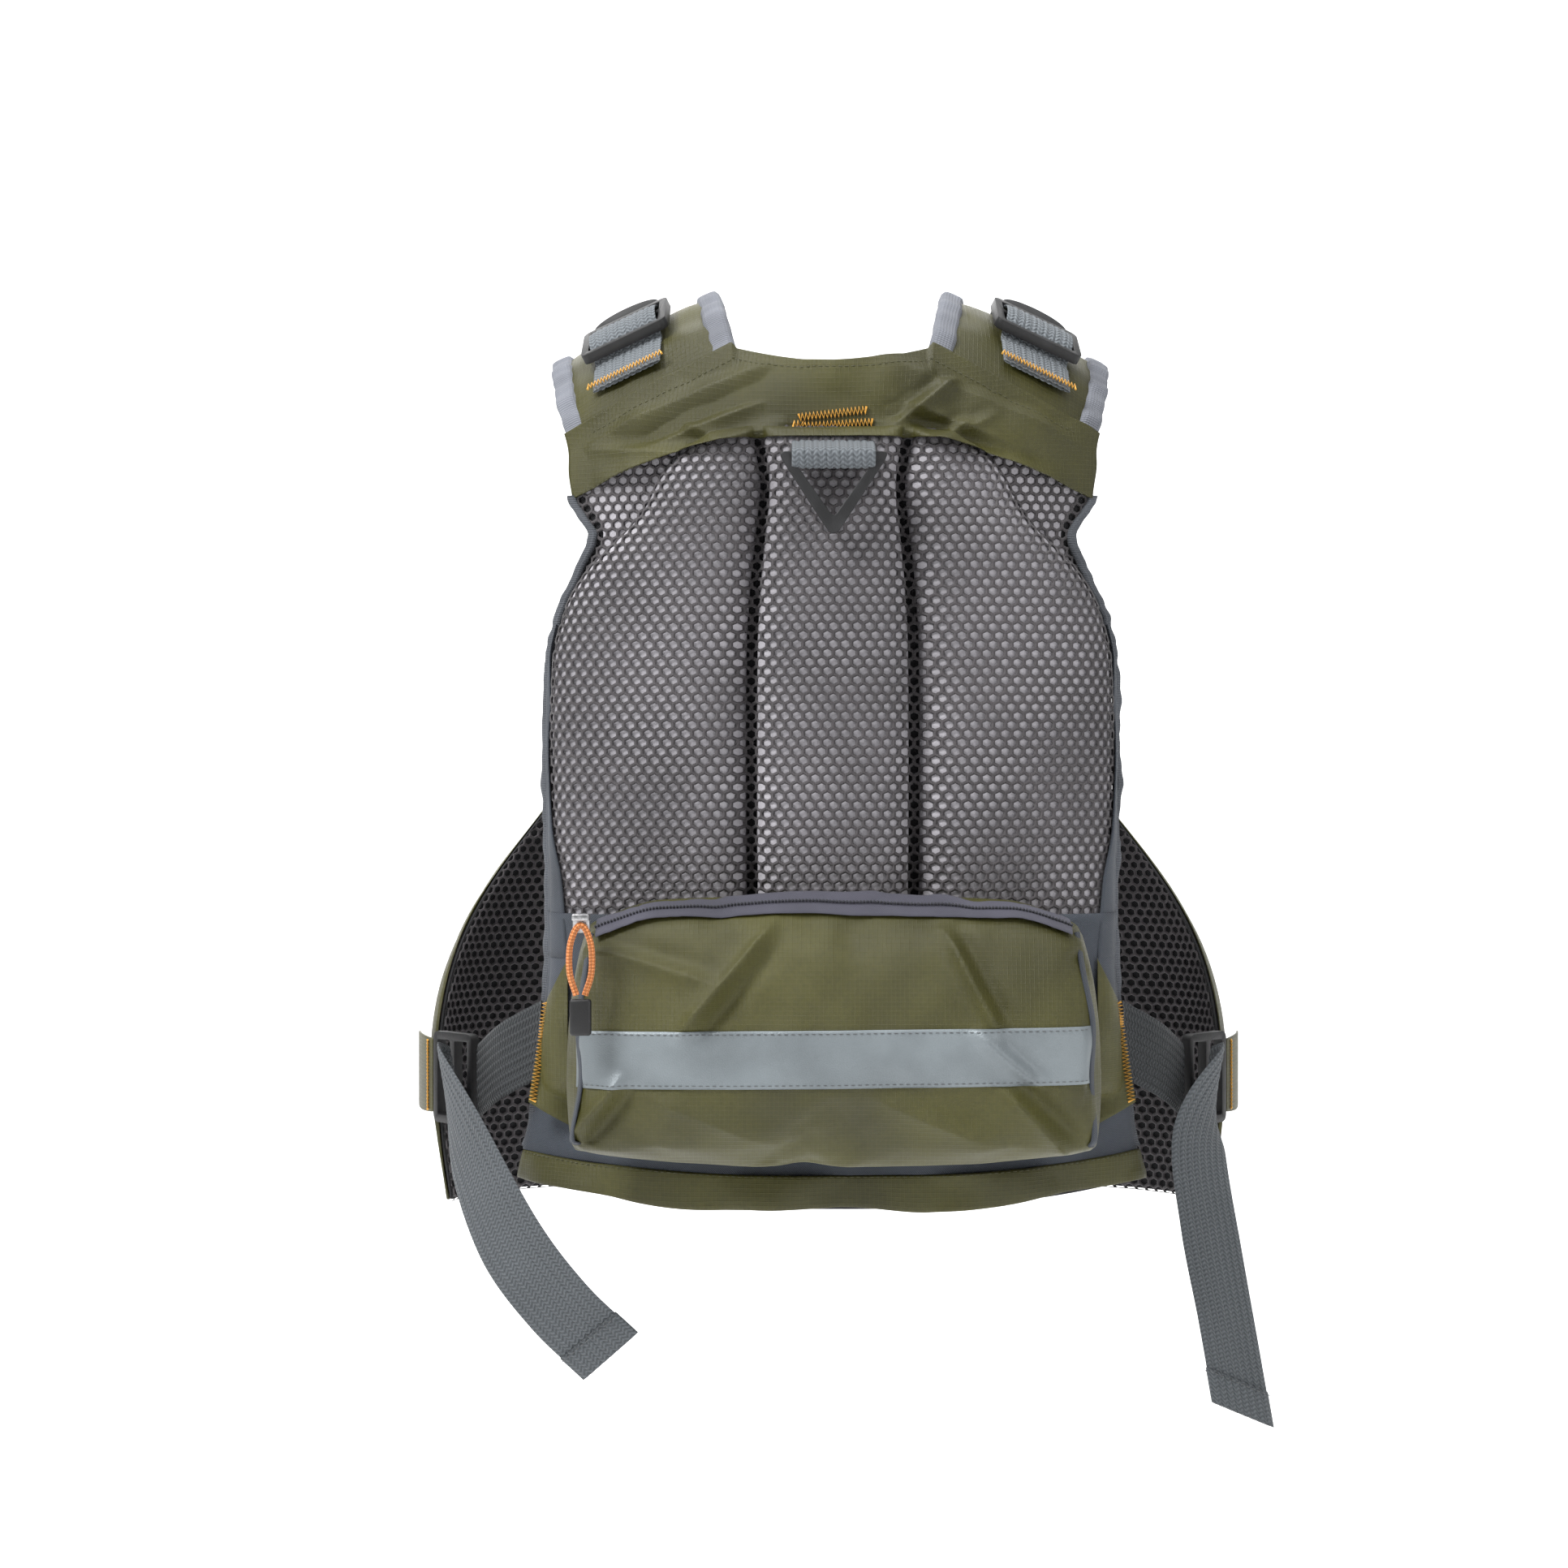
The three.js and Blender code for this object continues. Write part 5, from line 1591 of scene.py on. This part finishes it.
class VEST_OT_shoulders(VestOperator):
    """Makes the shoulder pads, their bindings, the webbing and the ladder-locks"""

    bl_idname = "vest.shoulders"
    bl_label = "Shoulders"

    def build(self):
        for name, side in SIDES:
            self.pad(name, side)
            self.straps(name, side)
            self.lock(name, side)

    def bend(self, piece, name, side):
        """Bakes the piece's transform into its mesh."""
        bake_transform(piece)

    def run(self, x, s):
        """The angle on the shoulder at share s, from under the yoke to the front's top edge."""
        fall = (x - NECK_HALF_WIDTH) / (BACK_ROWS[0][2] - NECK_HALF_WIDTH)
        back = angle_at(x, NECK_SIDE + (BACK_ROWS[0][1] - NECK_SIDE) * fall) + 0.05
        front = -angle_at(x, -0.050) + 0.02
        return back + (front - back) * s

    def edge_x(self, s, w):
        swell = math.sin(math.pi * s)
        inner, outer = 0.052 + 0.010 * swell, 0.125 + 0.011 * swell
        return inner + (outer - inner) * w

    def pad(self, name, side):
        """An olive pad over the shoulder, flat where it runs under the yoke."""
        inner, outer, uvs = [], [], []
        for s in steps(0, 1, 110):
            taper = min(1.0, s / 0.13, (1 - s) / 0.05) ** 0.7
            low, high, line = [], [], []
            for w in steps(0.03, 0.97, 34):
                x = self.edge_x(s, w)
                angle = self.run(x, s)
                x *= side
                quilt = 0.0011 * abs(math.sin(3 * math.pi * w)) ** 0.5
                rise = taper * (0.0042 * pillow(0.04 + 0.92 * w, 3.5) + quilt)
                rise += taper * 0.0022 * noise.noise(Vector((x * 30, angle * 4, side)))
                low.append(on_shoulder(x, angle, -0.0002))
                high.append(on_shoulder(x, angle, 0.0012 + rise))
                line.append((x, angle * SHOULDER_RADIUS))
            inner.append(low)
            outer.append(high)
            uvs.append(line)
        pad = slab(f"pad_{name}", inner, outer, uvs, olive())
        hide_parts(f"shoulder_pad_{name}")
        self.bend(pad, name, side)
        pieces = []
        for edge, w in (("inner", 0.0), ("outer", 1.0)):
            path, across, ups = [], [], []
            for s in steps(0.0, 0.995, 90):
                x = self.edge_x(s, w)
                angle = self.run(x, s)
                tuck = 0.0042 * max(0.0, 1 - s / 0.12)
                wave = 0.0008 * math.sin(s * 41 + side) + 0.0006 * math.sin(s * 97)
                path.append(on_shoulder(x * side, angle, 0.0034 + wave - tuck))
                axis, _, up = shoulder_frame(x * side, angle)
                across.append(axis)
                ups.append(up)
            pieces.append(sweep(f"pad_{edge}_{name}", path, across, flat_section(0.0125, 0.0072), pale_binding(), ups))
        tape = joined(f"pad_binding_{name}", pieces)
        self.bend(tape, name, side)

    def straps(self, name, side):
        reach = 0.0195 / 0.092
        front = -angle_at(STRAP_X, -0.050) - 0.1
        web = shoulder_strap(f"shoulder_strap_{name}", side, LOCK_ANGLE - reach, front, WEB_LIFT, shoulder_webbing(), 60)
        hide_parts(f"shoulder_web_{name}")
        self.bend(web, name, side)
        stub = shoulder_strap(f"yoke_strap_{name}", side, YOKE_WEB_ANGLE + 0.03, LOCK_ANGLE + reach, WEB_LIFT - 0.001, shoulder_webbing(), 24)
        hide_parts(f"yoke_web_{name}")
        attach(stub, "root")
        # The webbing rises through the lock's first slot, over its middle bar and down the second.
        angles = [LOCK_ANGLE + a for a in (0.21, 0.155, 0.085, 0.0, -0.085, -0.155, -0.21)]
        lifts = (0.0075, 0.0085, 0.0152, 0.0172, 0.0152, 0.0085, 0.0075)
        path = [on_shoulder(STRAP_X * side, a, r) for a, r in zip(angles, lifts)]
        path = smooth_path(path, 40)
        across = shoulder_frame(STRAP_X * side, LOCK_ANGLE)[0]
        loop = sweep(
            f"lock_strap_{name}", path, [across] * len(path), ribbed(WEB_WIDTH - 0.001, WEB_THICK, sizes().web_ribs + 3), shoulder_webbing()
        )
        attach(loop, f"shoulder_lock_{name}")
        chain = []
        axis, _, up = shoulder_frame(STRAP_X * side, YOKE_WEB_ANGLE)
        for w in steps(-0.021, 0.021, 40):
            chain.append(on_shoulder(STRAP_X * side, YOKE_WEB_ANGLE, WEB_LIFT + 0.0022) + axis * w)
        tack = bartack(f"shoulder_bartack_{name}", [chain], up, 0.0017)
        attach(tack, "root")

    def lock(self, name, side):
        lock = moulded_copy(f"strap_lock_{name}", f"shoulder_lock_{name}", moulded("black plastic"), 0.0009, 2)
        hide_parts(f"shoulder_lock_{name}")
        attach(lock, f"shoulder_lock_{name}")
        # A rounded thumb tab stands behind the lock's upper edge.
        axis, along, up = shoulder_frame(STRAP_X * side, LOCK_ANGLE)
        centre = on_shoulder(STRAP_X * side, LOCK_ANGLE, 0.0125) - along * 0.018
        outline = []
        for k in range(25):
            turn = math.pi * k / 24
            outline.append((0.0185 * math.cos(turn), -0.0085 * math.sin(turn) ** 0.8))
        outline = [(-0.0185, 0.002)] + outline[::-1] + [(0.0185, 0.002)]
        points, faces = [], []
        count = len(outline)
        for lift in (-0.0016, 0.0016):
            points += [centre + axis * a + along * b + up * (lift - b * 0.25) for a, b in outline]
        faces.append(tuple(range(count)))
        faces.append(tuple(count + k for k in reversed(range(count))))
        faces += [(k, count + k, count + (k + 1) % count, (k + 1) % count) for k in range(count)]
        mesh = mesh_from(f"thumb_tab_{name}", points, faces, [(p.x, p.z) for p in points])
        outward(mesh)
        tab = new_object(f"thumb_tab_{name}", mesh, moulded("black plastic"))
        bevel = tab.modifiers.new("edges", "BEVEL")
        bevel.width = 0.0007
        bevel.segments = 2
        bevel.limit_method = "ANGLE"
        settle(tab)
        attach(tab, f"shoulder_lock_{name}")


BUCKLE = Vector((0.192, 0.030, -0.376))
STRAP_ALONG = Vector((0.62, -0.785, 0)).normalized()
STRAP_OUT = Vector((0.785, 0.62, 0)).normalized()
TAIL_ROUTES = {
    "left": ((0.180, 0.078, -0.410), (0.158, 0.100, -0.450), (0.134, 0.108, -0.480), (0.109, 0.108, -0.504)),
    "right": ((0.184, 0.074, -0.406), (0.188, 0.086, -0.450), (0.196, 0.090, -0.496), (0.203, 0.090, -0.536)),
}
TAIL_WIDTHS = {
    "left": ((0.1, 0.35, 0.93), (-0.45, 0.4, 0.8), (-0.7, 0.3, 0.65), (-0.72, 0.3, 0.62), (-0.7, 0.3, 0.65)),
    "right": ((0.1, 0.35, 0.93), (-0.75, 0.45, 0.45), (-0.85, 0.4, 0.35), (-0.84, 0.4, 0.38), (-0.84, 0.38, 0.4)),
}


def handed(vectors, side):
    return [Vector((v[0] * side, v[1], v[2])) for v in vectors]


class VEST_OT_sides(VestOperator):
    """Makes the side wings, webbing, ladder-locks and loose strap tails"""

    bl_idname = "vest.sides"
    bl_label = "Side straps"

    def build(self):
        for name, side in SIDES:
            self.wing(name, side)
            self.web(name, side)
            self.lock(name, side)
            self.tail(name, side)

    def wing(self, name, side):
        """An olive wing from the pouch's side to the strap, sewn down with a bartack."""
        box_low, box_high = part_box("back_wing_left")
        base = surface_finder(bpy.data.objects["base_panel"])
        inner, outer, uvs = [], [], []
        for t in steps(0, 1, 36):
            top = Vector((0.129, 0, -0.310 - 0.084 * t))
            end = Vector((0.1415 + 0.0085 * t, 0, -0.333 - 0.049 * t))
            low, high, line = [], [], []
            for s in steps(0, 1, 22):
                place = top.lerp(end, s)
                hit = base.ray_cast(Vector((place.x * side, 0.3, place.z)), Vector((0, -1, 0)))
                y = hit[0].y + 0.001 if hit[0] else box_low.y
                y = max(y, box_low.y + 0.001) + 0.0016 * math.sin(math.pi * s)
                y += 0.0012 * noise.noise(Vector((place.x * 60, place.z * 60, side)))
                low.append(Vector((place.x * side, y, place.z)))
                high.append(Vector((place.x * side, y + FABRIC, place.z)))
                line.append((place.x, place.z))
            inner.append(low)
            outer.append(high)
            uvs.append(line)
        wing = slab(f"wing_{name}", inner, outer, uvs, olive())
        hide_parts(f"back_wing_{name}")
        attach(wing, "root")
        chain = [row[-3] + Vector((0, 0.0004, 0)) for row in outer[1:-1]]
        tack = bartack(f"wing_bartack_{name}", [chain], BACKWARD, 0.0017)
        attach(tack, "root")
        self.front_tab(name, side)

    def front_tab(self, name, side):
        flap = soft_copy(f"front_tab_{name}", f"front_wing_{name}", olive(), 3, 0.7, "yz")
        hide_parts(f"front_wing_{name}")
        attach(flap, f"front_{name}")
        low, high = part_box(f"front_wing_{name}")
        finder = surface_finder(flap)
        chain = []
        for z in steps(high.z - 0.002, low.z + 0.002, 40):
            hit = finder.ray_cast(Vector((0.4 * side, high.y - 0.006, z)), Vector((-side, 0, 0)))
            if hit[0]:
                chain.append(hit[0] + Vector((side * 0.0004, 0, 0)))
        if len(chain) > 3:
            tack = bartack(f"tab_bartack_{name}", [chain], Vector((side, 0, 0)), 0.0017)
            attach(tack, f"front_{name}")

    def web(self, name, side):
        start = Vector((0.1435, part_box("back_wing_left")[0].y - 0.0012, -0.351))
        end = BUCKLE - STRAP_ALONG * 0.021
        middle = (start + end) / 2 + STRAP_OUT * 0.005
        path = smooth_path(handed((start, middle, end), side), 40)
        strap = sweep(f"side_strap_{name}", path, [UP] * len(path), ribbed(WEB_WIDTH, WEB_THICK, 9), side_webbing())
        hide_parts(f"side_web_{name}")
        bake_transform(strap)

    def lock(self, name, side):
        lock = moulded_copy(f"side_ladder_{name}", f"side_lock_{name}", moulded("black plastic"), 0.0009, 2)
        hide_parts(f"side_lock_{name}")
        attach(lock, f"side_lock_{name}")

    def tail(self, name, side):
        # The tail comes out of the lock's rear slot before it falls away.
        slot = BUCKLE + STRAP_OUT * 0.004 - STRAP_ALONG * 0.004
        turn = BUCKLE + STRAP_OUT * 0.0145 - STRAP_ALONG * 0.012
        widths = TAIL_WIDTHS[name]
        path = smooth_path(handed((slot, turn, *TAIL_ROUTES[name]), side), 96)
        across = smooth_path(handed((widths[0], *widths), side), 96)
        tail = sweep(f"tail_{name}", path, across, ribbed(WEB_WIDTH, WEB_THICK, sizes().web_ribs), webbing())
        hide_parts(f"strap_tail_{name}")
        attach(tail, f"strap_tail_{name}")
        last = path[-1] - path[-2]
        edge = len(path) - 9
        hem_path = [p.copy() for p in path[edge:]] + [path[-1] + last.normalized() * 0.0008]
        hem_across = across[edge:] + [across[-1]]
        hem = sweep(f"tail_hem_{name}", hem_path, hem_across, ribbed(WEB_WIDTH + 0.0008, WEB_THICK + 0.0022, sizes().web_ribs), webbing())
        width = across[edge].normalized()
        normal = (path[edge + 1] - path[edge]).cross(width).normalized()
        chains = []
        for face in (1, -1):
            base = path[edge] + (path[edge + 1] - path[edge]).normalized() * 0.0016 + normal * face * 0.0024
            chains.append([base + width * w for w in steps(-0.018, 0.018, 20)])
        seam = stitches(f"tail_stitches_{name}", chains, grey_thread(), 0.0024, 0.0006, 0.0005)
        for piece in (hem, seam):
            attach(piece, f"strap_tail_{name}")


class VEST_OT_fronts(VestOperator):
    """Makes the two front halves with their pockets and zips"""

    bl_idname = "vest.fronts"
    bl_label = "Front halves"

    def build(self):
        for name, side in SIDES:
            self.half(name, side)
            self.pockets(name, side)
        tooth = plated("plated metal")
        for node in ("front_zip_slider", "lower_pocket_slider_left", "lower_pocket_slider_right"):
            self.keep(node, tooth)
        self.keep("front_zip_pull", moulded("black plastic"))

    def keep(self, node, material):
        mesh = NODES[node].data
        mesh.materials.clear()
        mesh.materials.append(material)

    def place(self, piece, name, slot):
        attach(piece, f"front_{name}")

    def half(self, name, side):
        def wave(place, normal):
            return normal * rumple(place.x + place.y, place.z, 18, 0.0016, 6.0)

        shell = soft_copy(f"shell_{name}", f"front_shell_{name}", olive(), 3, 0.8, "xz", wave)
        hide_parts(f"front_shell_{name}")
        self.place(shell, name, "olive_ripstop")
        foam = soft_copy(f"front_pad_{name}", f"front_foam_{name}", cell_foam("pale foam", colours().foam), 2, 0.3)
        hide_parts(f"front_foam_{name}")
        self.place(foam, name, "buoyancy_foam")
        inner = soft_copy(f"front_lining_cloth_{name}", f"front_lining_{name}", lining(), 3, 0.8)
        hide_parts(f"front_lining_{name}")
        self.place(inner, name, "spacer_mesh")
        self.inside_net(name, side)
        tape = soft_copy(f"front_zip_tape_{name}", f"front_zip_{name}", plain_weave("zip tape", (0.075, 0.074, 0.100), 0.0009), 2, 0.9)
        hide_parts(f"front_zip_{name}")
        self.place(tape, name, "slate_nylon")
        binding = self.armhole_edge(name, side)
        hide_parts(f"armhole_binding_{name}")
        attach(binding, "root")

    def armhole_edge(self, name, side):
        path, across, ups = [], [], []
        for v in steps(YOKE_END - 0.1, 13.9, 150):
            x, z = back_xz(side, v)
            kink = 0.0016 * noise.noise(Vector((v * 1.3, side, 4.0))) + 0.0010 * noise.noise(Vector((v * 4.1, side, 1.0)))
            lift = 0.0016 + cloth_lift(side, v) * 0.3
            path.append(Vector((x, back_height(x, z), z)) + back_normal(x, z) * lift + Vector((side * (0.0009 + kink), 0, 0)))
            across.append(Vector((side, -0.25, 0)))
            ups.append(back_normal(x, z))
        return sweep(f"armhole_edge_{name}", path, across, flat_section(0.0052, 0.0036), dark_binding(), ups)

    def inside_net(self, name, side):
        """The net that faces the wearer, a little inside the lining."""
        work = bmesh.new()
        source = bpy.data.objects[f"front_lining_cloth_{name}"]
        work.from_mesh(source.data)
        work.normal_update()
        inward = [f for f in work.faces if f.normal.dot(Vector((f.calc_center_median().x, f.calc_center_median().y, 0))) > -1e-4]
        bmesh.ops.delete(work, geom=inward, context="FACES")
        for vertex in work.verts:
            vertex.co += vertex.normal * 0.0012
        mesh = bpy.data.meshes.new(f"front_net_{name}")
        work.to_mesh(mesh)
        work.free()
        while mesh.uv_layers:
            mesh.uv_layers.remove(mesh.uv_layers[0])
        layer = mesh.uv_layers.new(name="cloth")
        for loop in mesh.loops:
            co = mesh.vertices[loop.vertex_index].co
            turn = math.atan2(co.x * side * 0.75, -co.y)
            layer.data[loop.index].uv = (turn * 0.145, co.z)
        piece = net(f"front_net_{name}", new_object(f"front_net_{name}", mesh, lining()), knit("net thread", colours().net))
        self.place(piece, name, "spacer_mesh")

    def pockets(self, name, side):
        def wave(place, normal):
            return normal * (rumple(place.x, place.z, 34, 0.0022, 9.0) + rumple(place.x, place.z, 80, 0.0008, 2.0))

        for node in ("chest_pocket", "lower_pocket"):
            piece = soft_copy(f"{node}_cloth_{name}", f"{node}_{name}", olive(), 4, 0.45, "xz", wave)
            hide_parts(f"{node}_{name}")
            self.place(piece, name, "olive_ripstop")
        flap = soft_copy(f"flap_{name}", f"chest_flap_{name}", olive(), 4, 0.8, "xz", wave)
        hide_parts(f"chest_flap_{name}")
        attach(flap, f"chest_flap_{name}")


class VEST_PT_panel(bpy.types.Panel):
    """The vest's sizes, colours and pieces"""

    bl_label = "Fishing vest"
    bl_space_type = "VIEW_3D"
    bl_region_type = "UI"
    bl_category = "Vest"

    def draw(self, context):
        for group in (context.scene.vest_sizes, context.scene.vest_colours):
            for key in group.__annotations__:
                self.layout.prop(group, key)
        for operator in PIECES:
            self.layout.operator(operator.bl_idname)


PIECES = (
    VEST_OT_stage,
    VEST_OT_pull,
    VEST_OT_back,
    VEST_OT_yoke,
    VEST_OT_base,
    VEST_OT_pouch,
    VEST_OT_ring,
    VEST_OT_shoulders,
    VEST_OT_sides,
    VEST_OT_fronts,
)
CLASSES = (VestSizes, VestColours, *PIECES, VEST_PT_panel)


def register():
    for cls in CLASSES:
        bpy.utils.register_class(cls)
    bpy.types.Scene.vest_sizes = PointerProperty(type=VestSizes)
    bpy.types.Scene.vest_colours = PointerProperty(type=VestColours)


def unregister():
    del bpy.types.Scene.vest_colours
    del bpy.types.Scene.vest_sizes
    for cls in reversed(CLASSES):
        bpy.utils.unregister_class(cls)


def main():
    register()
    for operator in PIECES:
        group, action = operator.bl_idname.split(".")
        getattr(getattr(bpy.ops, group), action)()


if __name__ == "__main__":
    main()
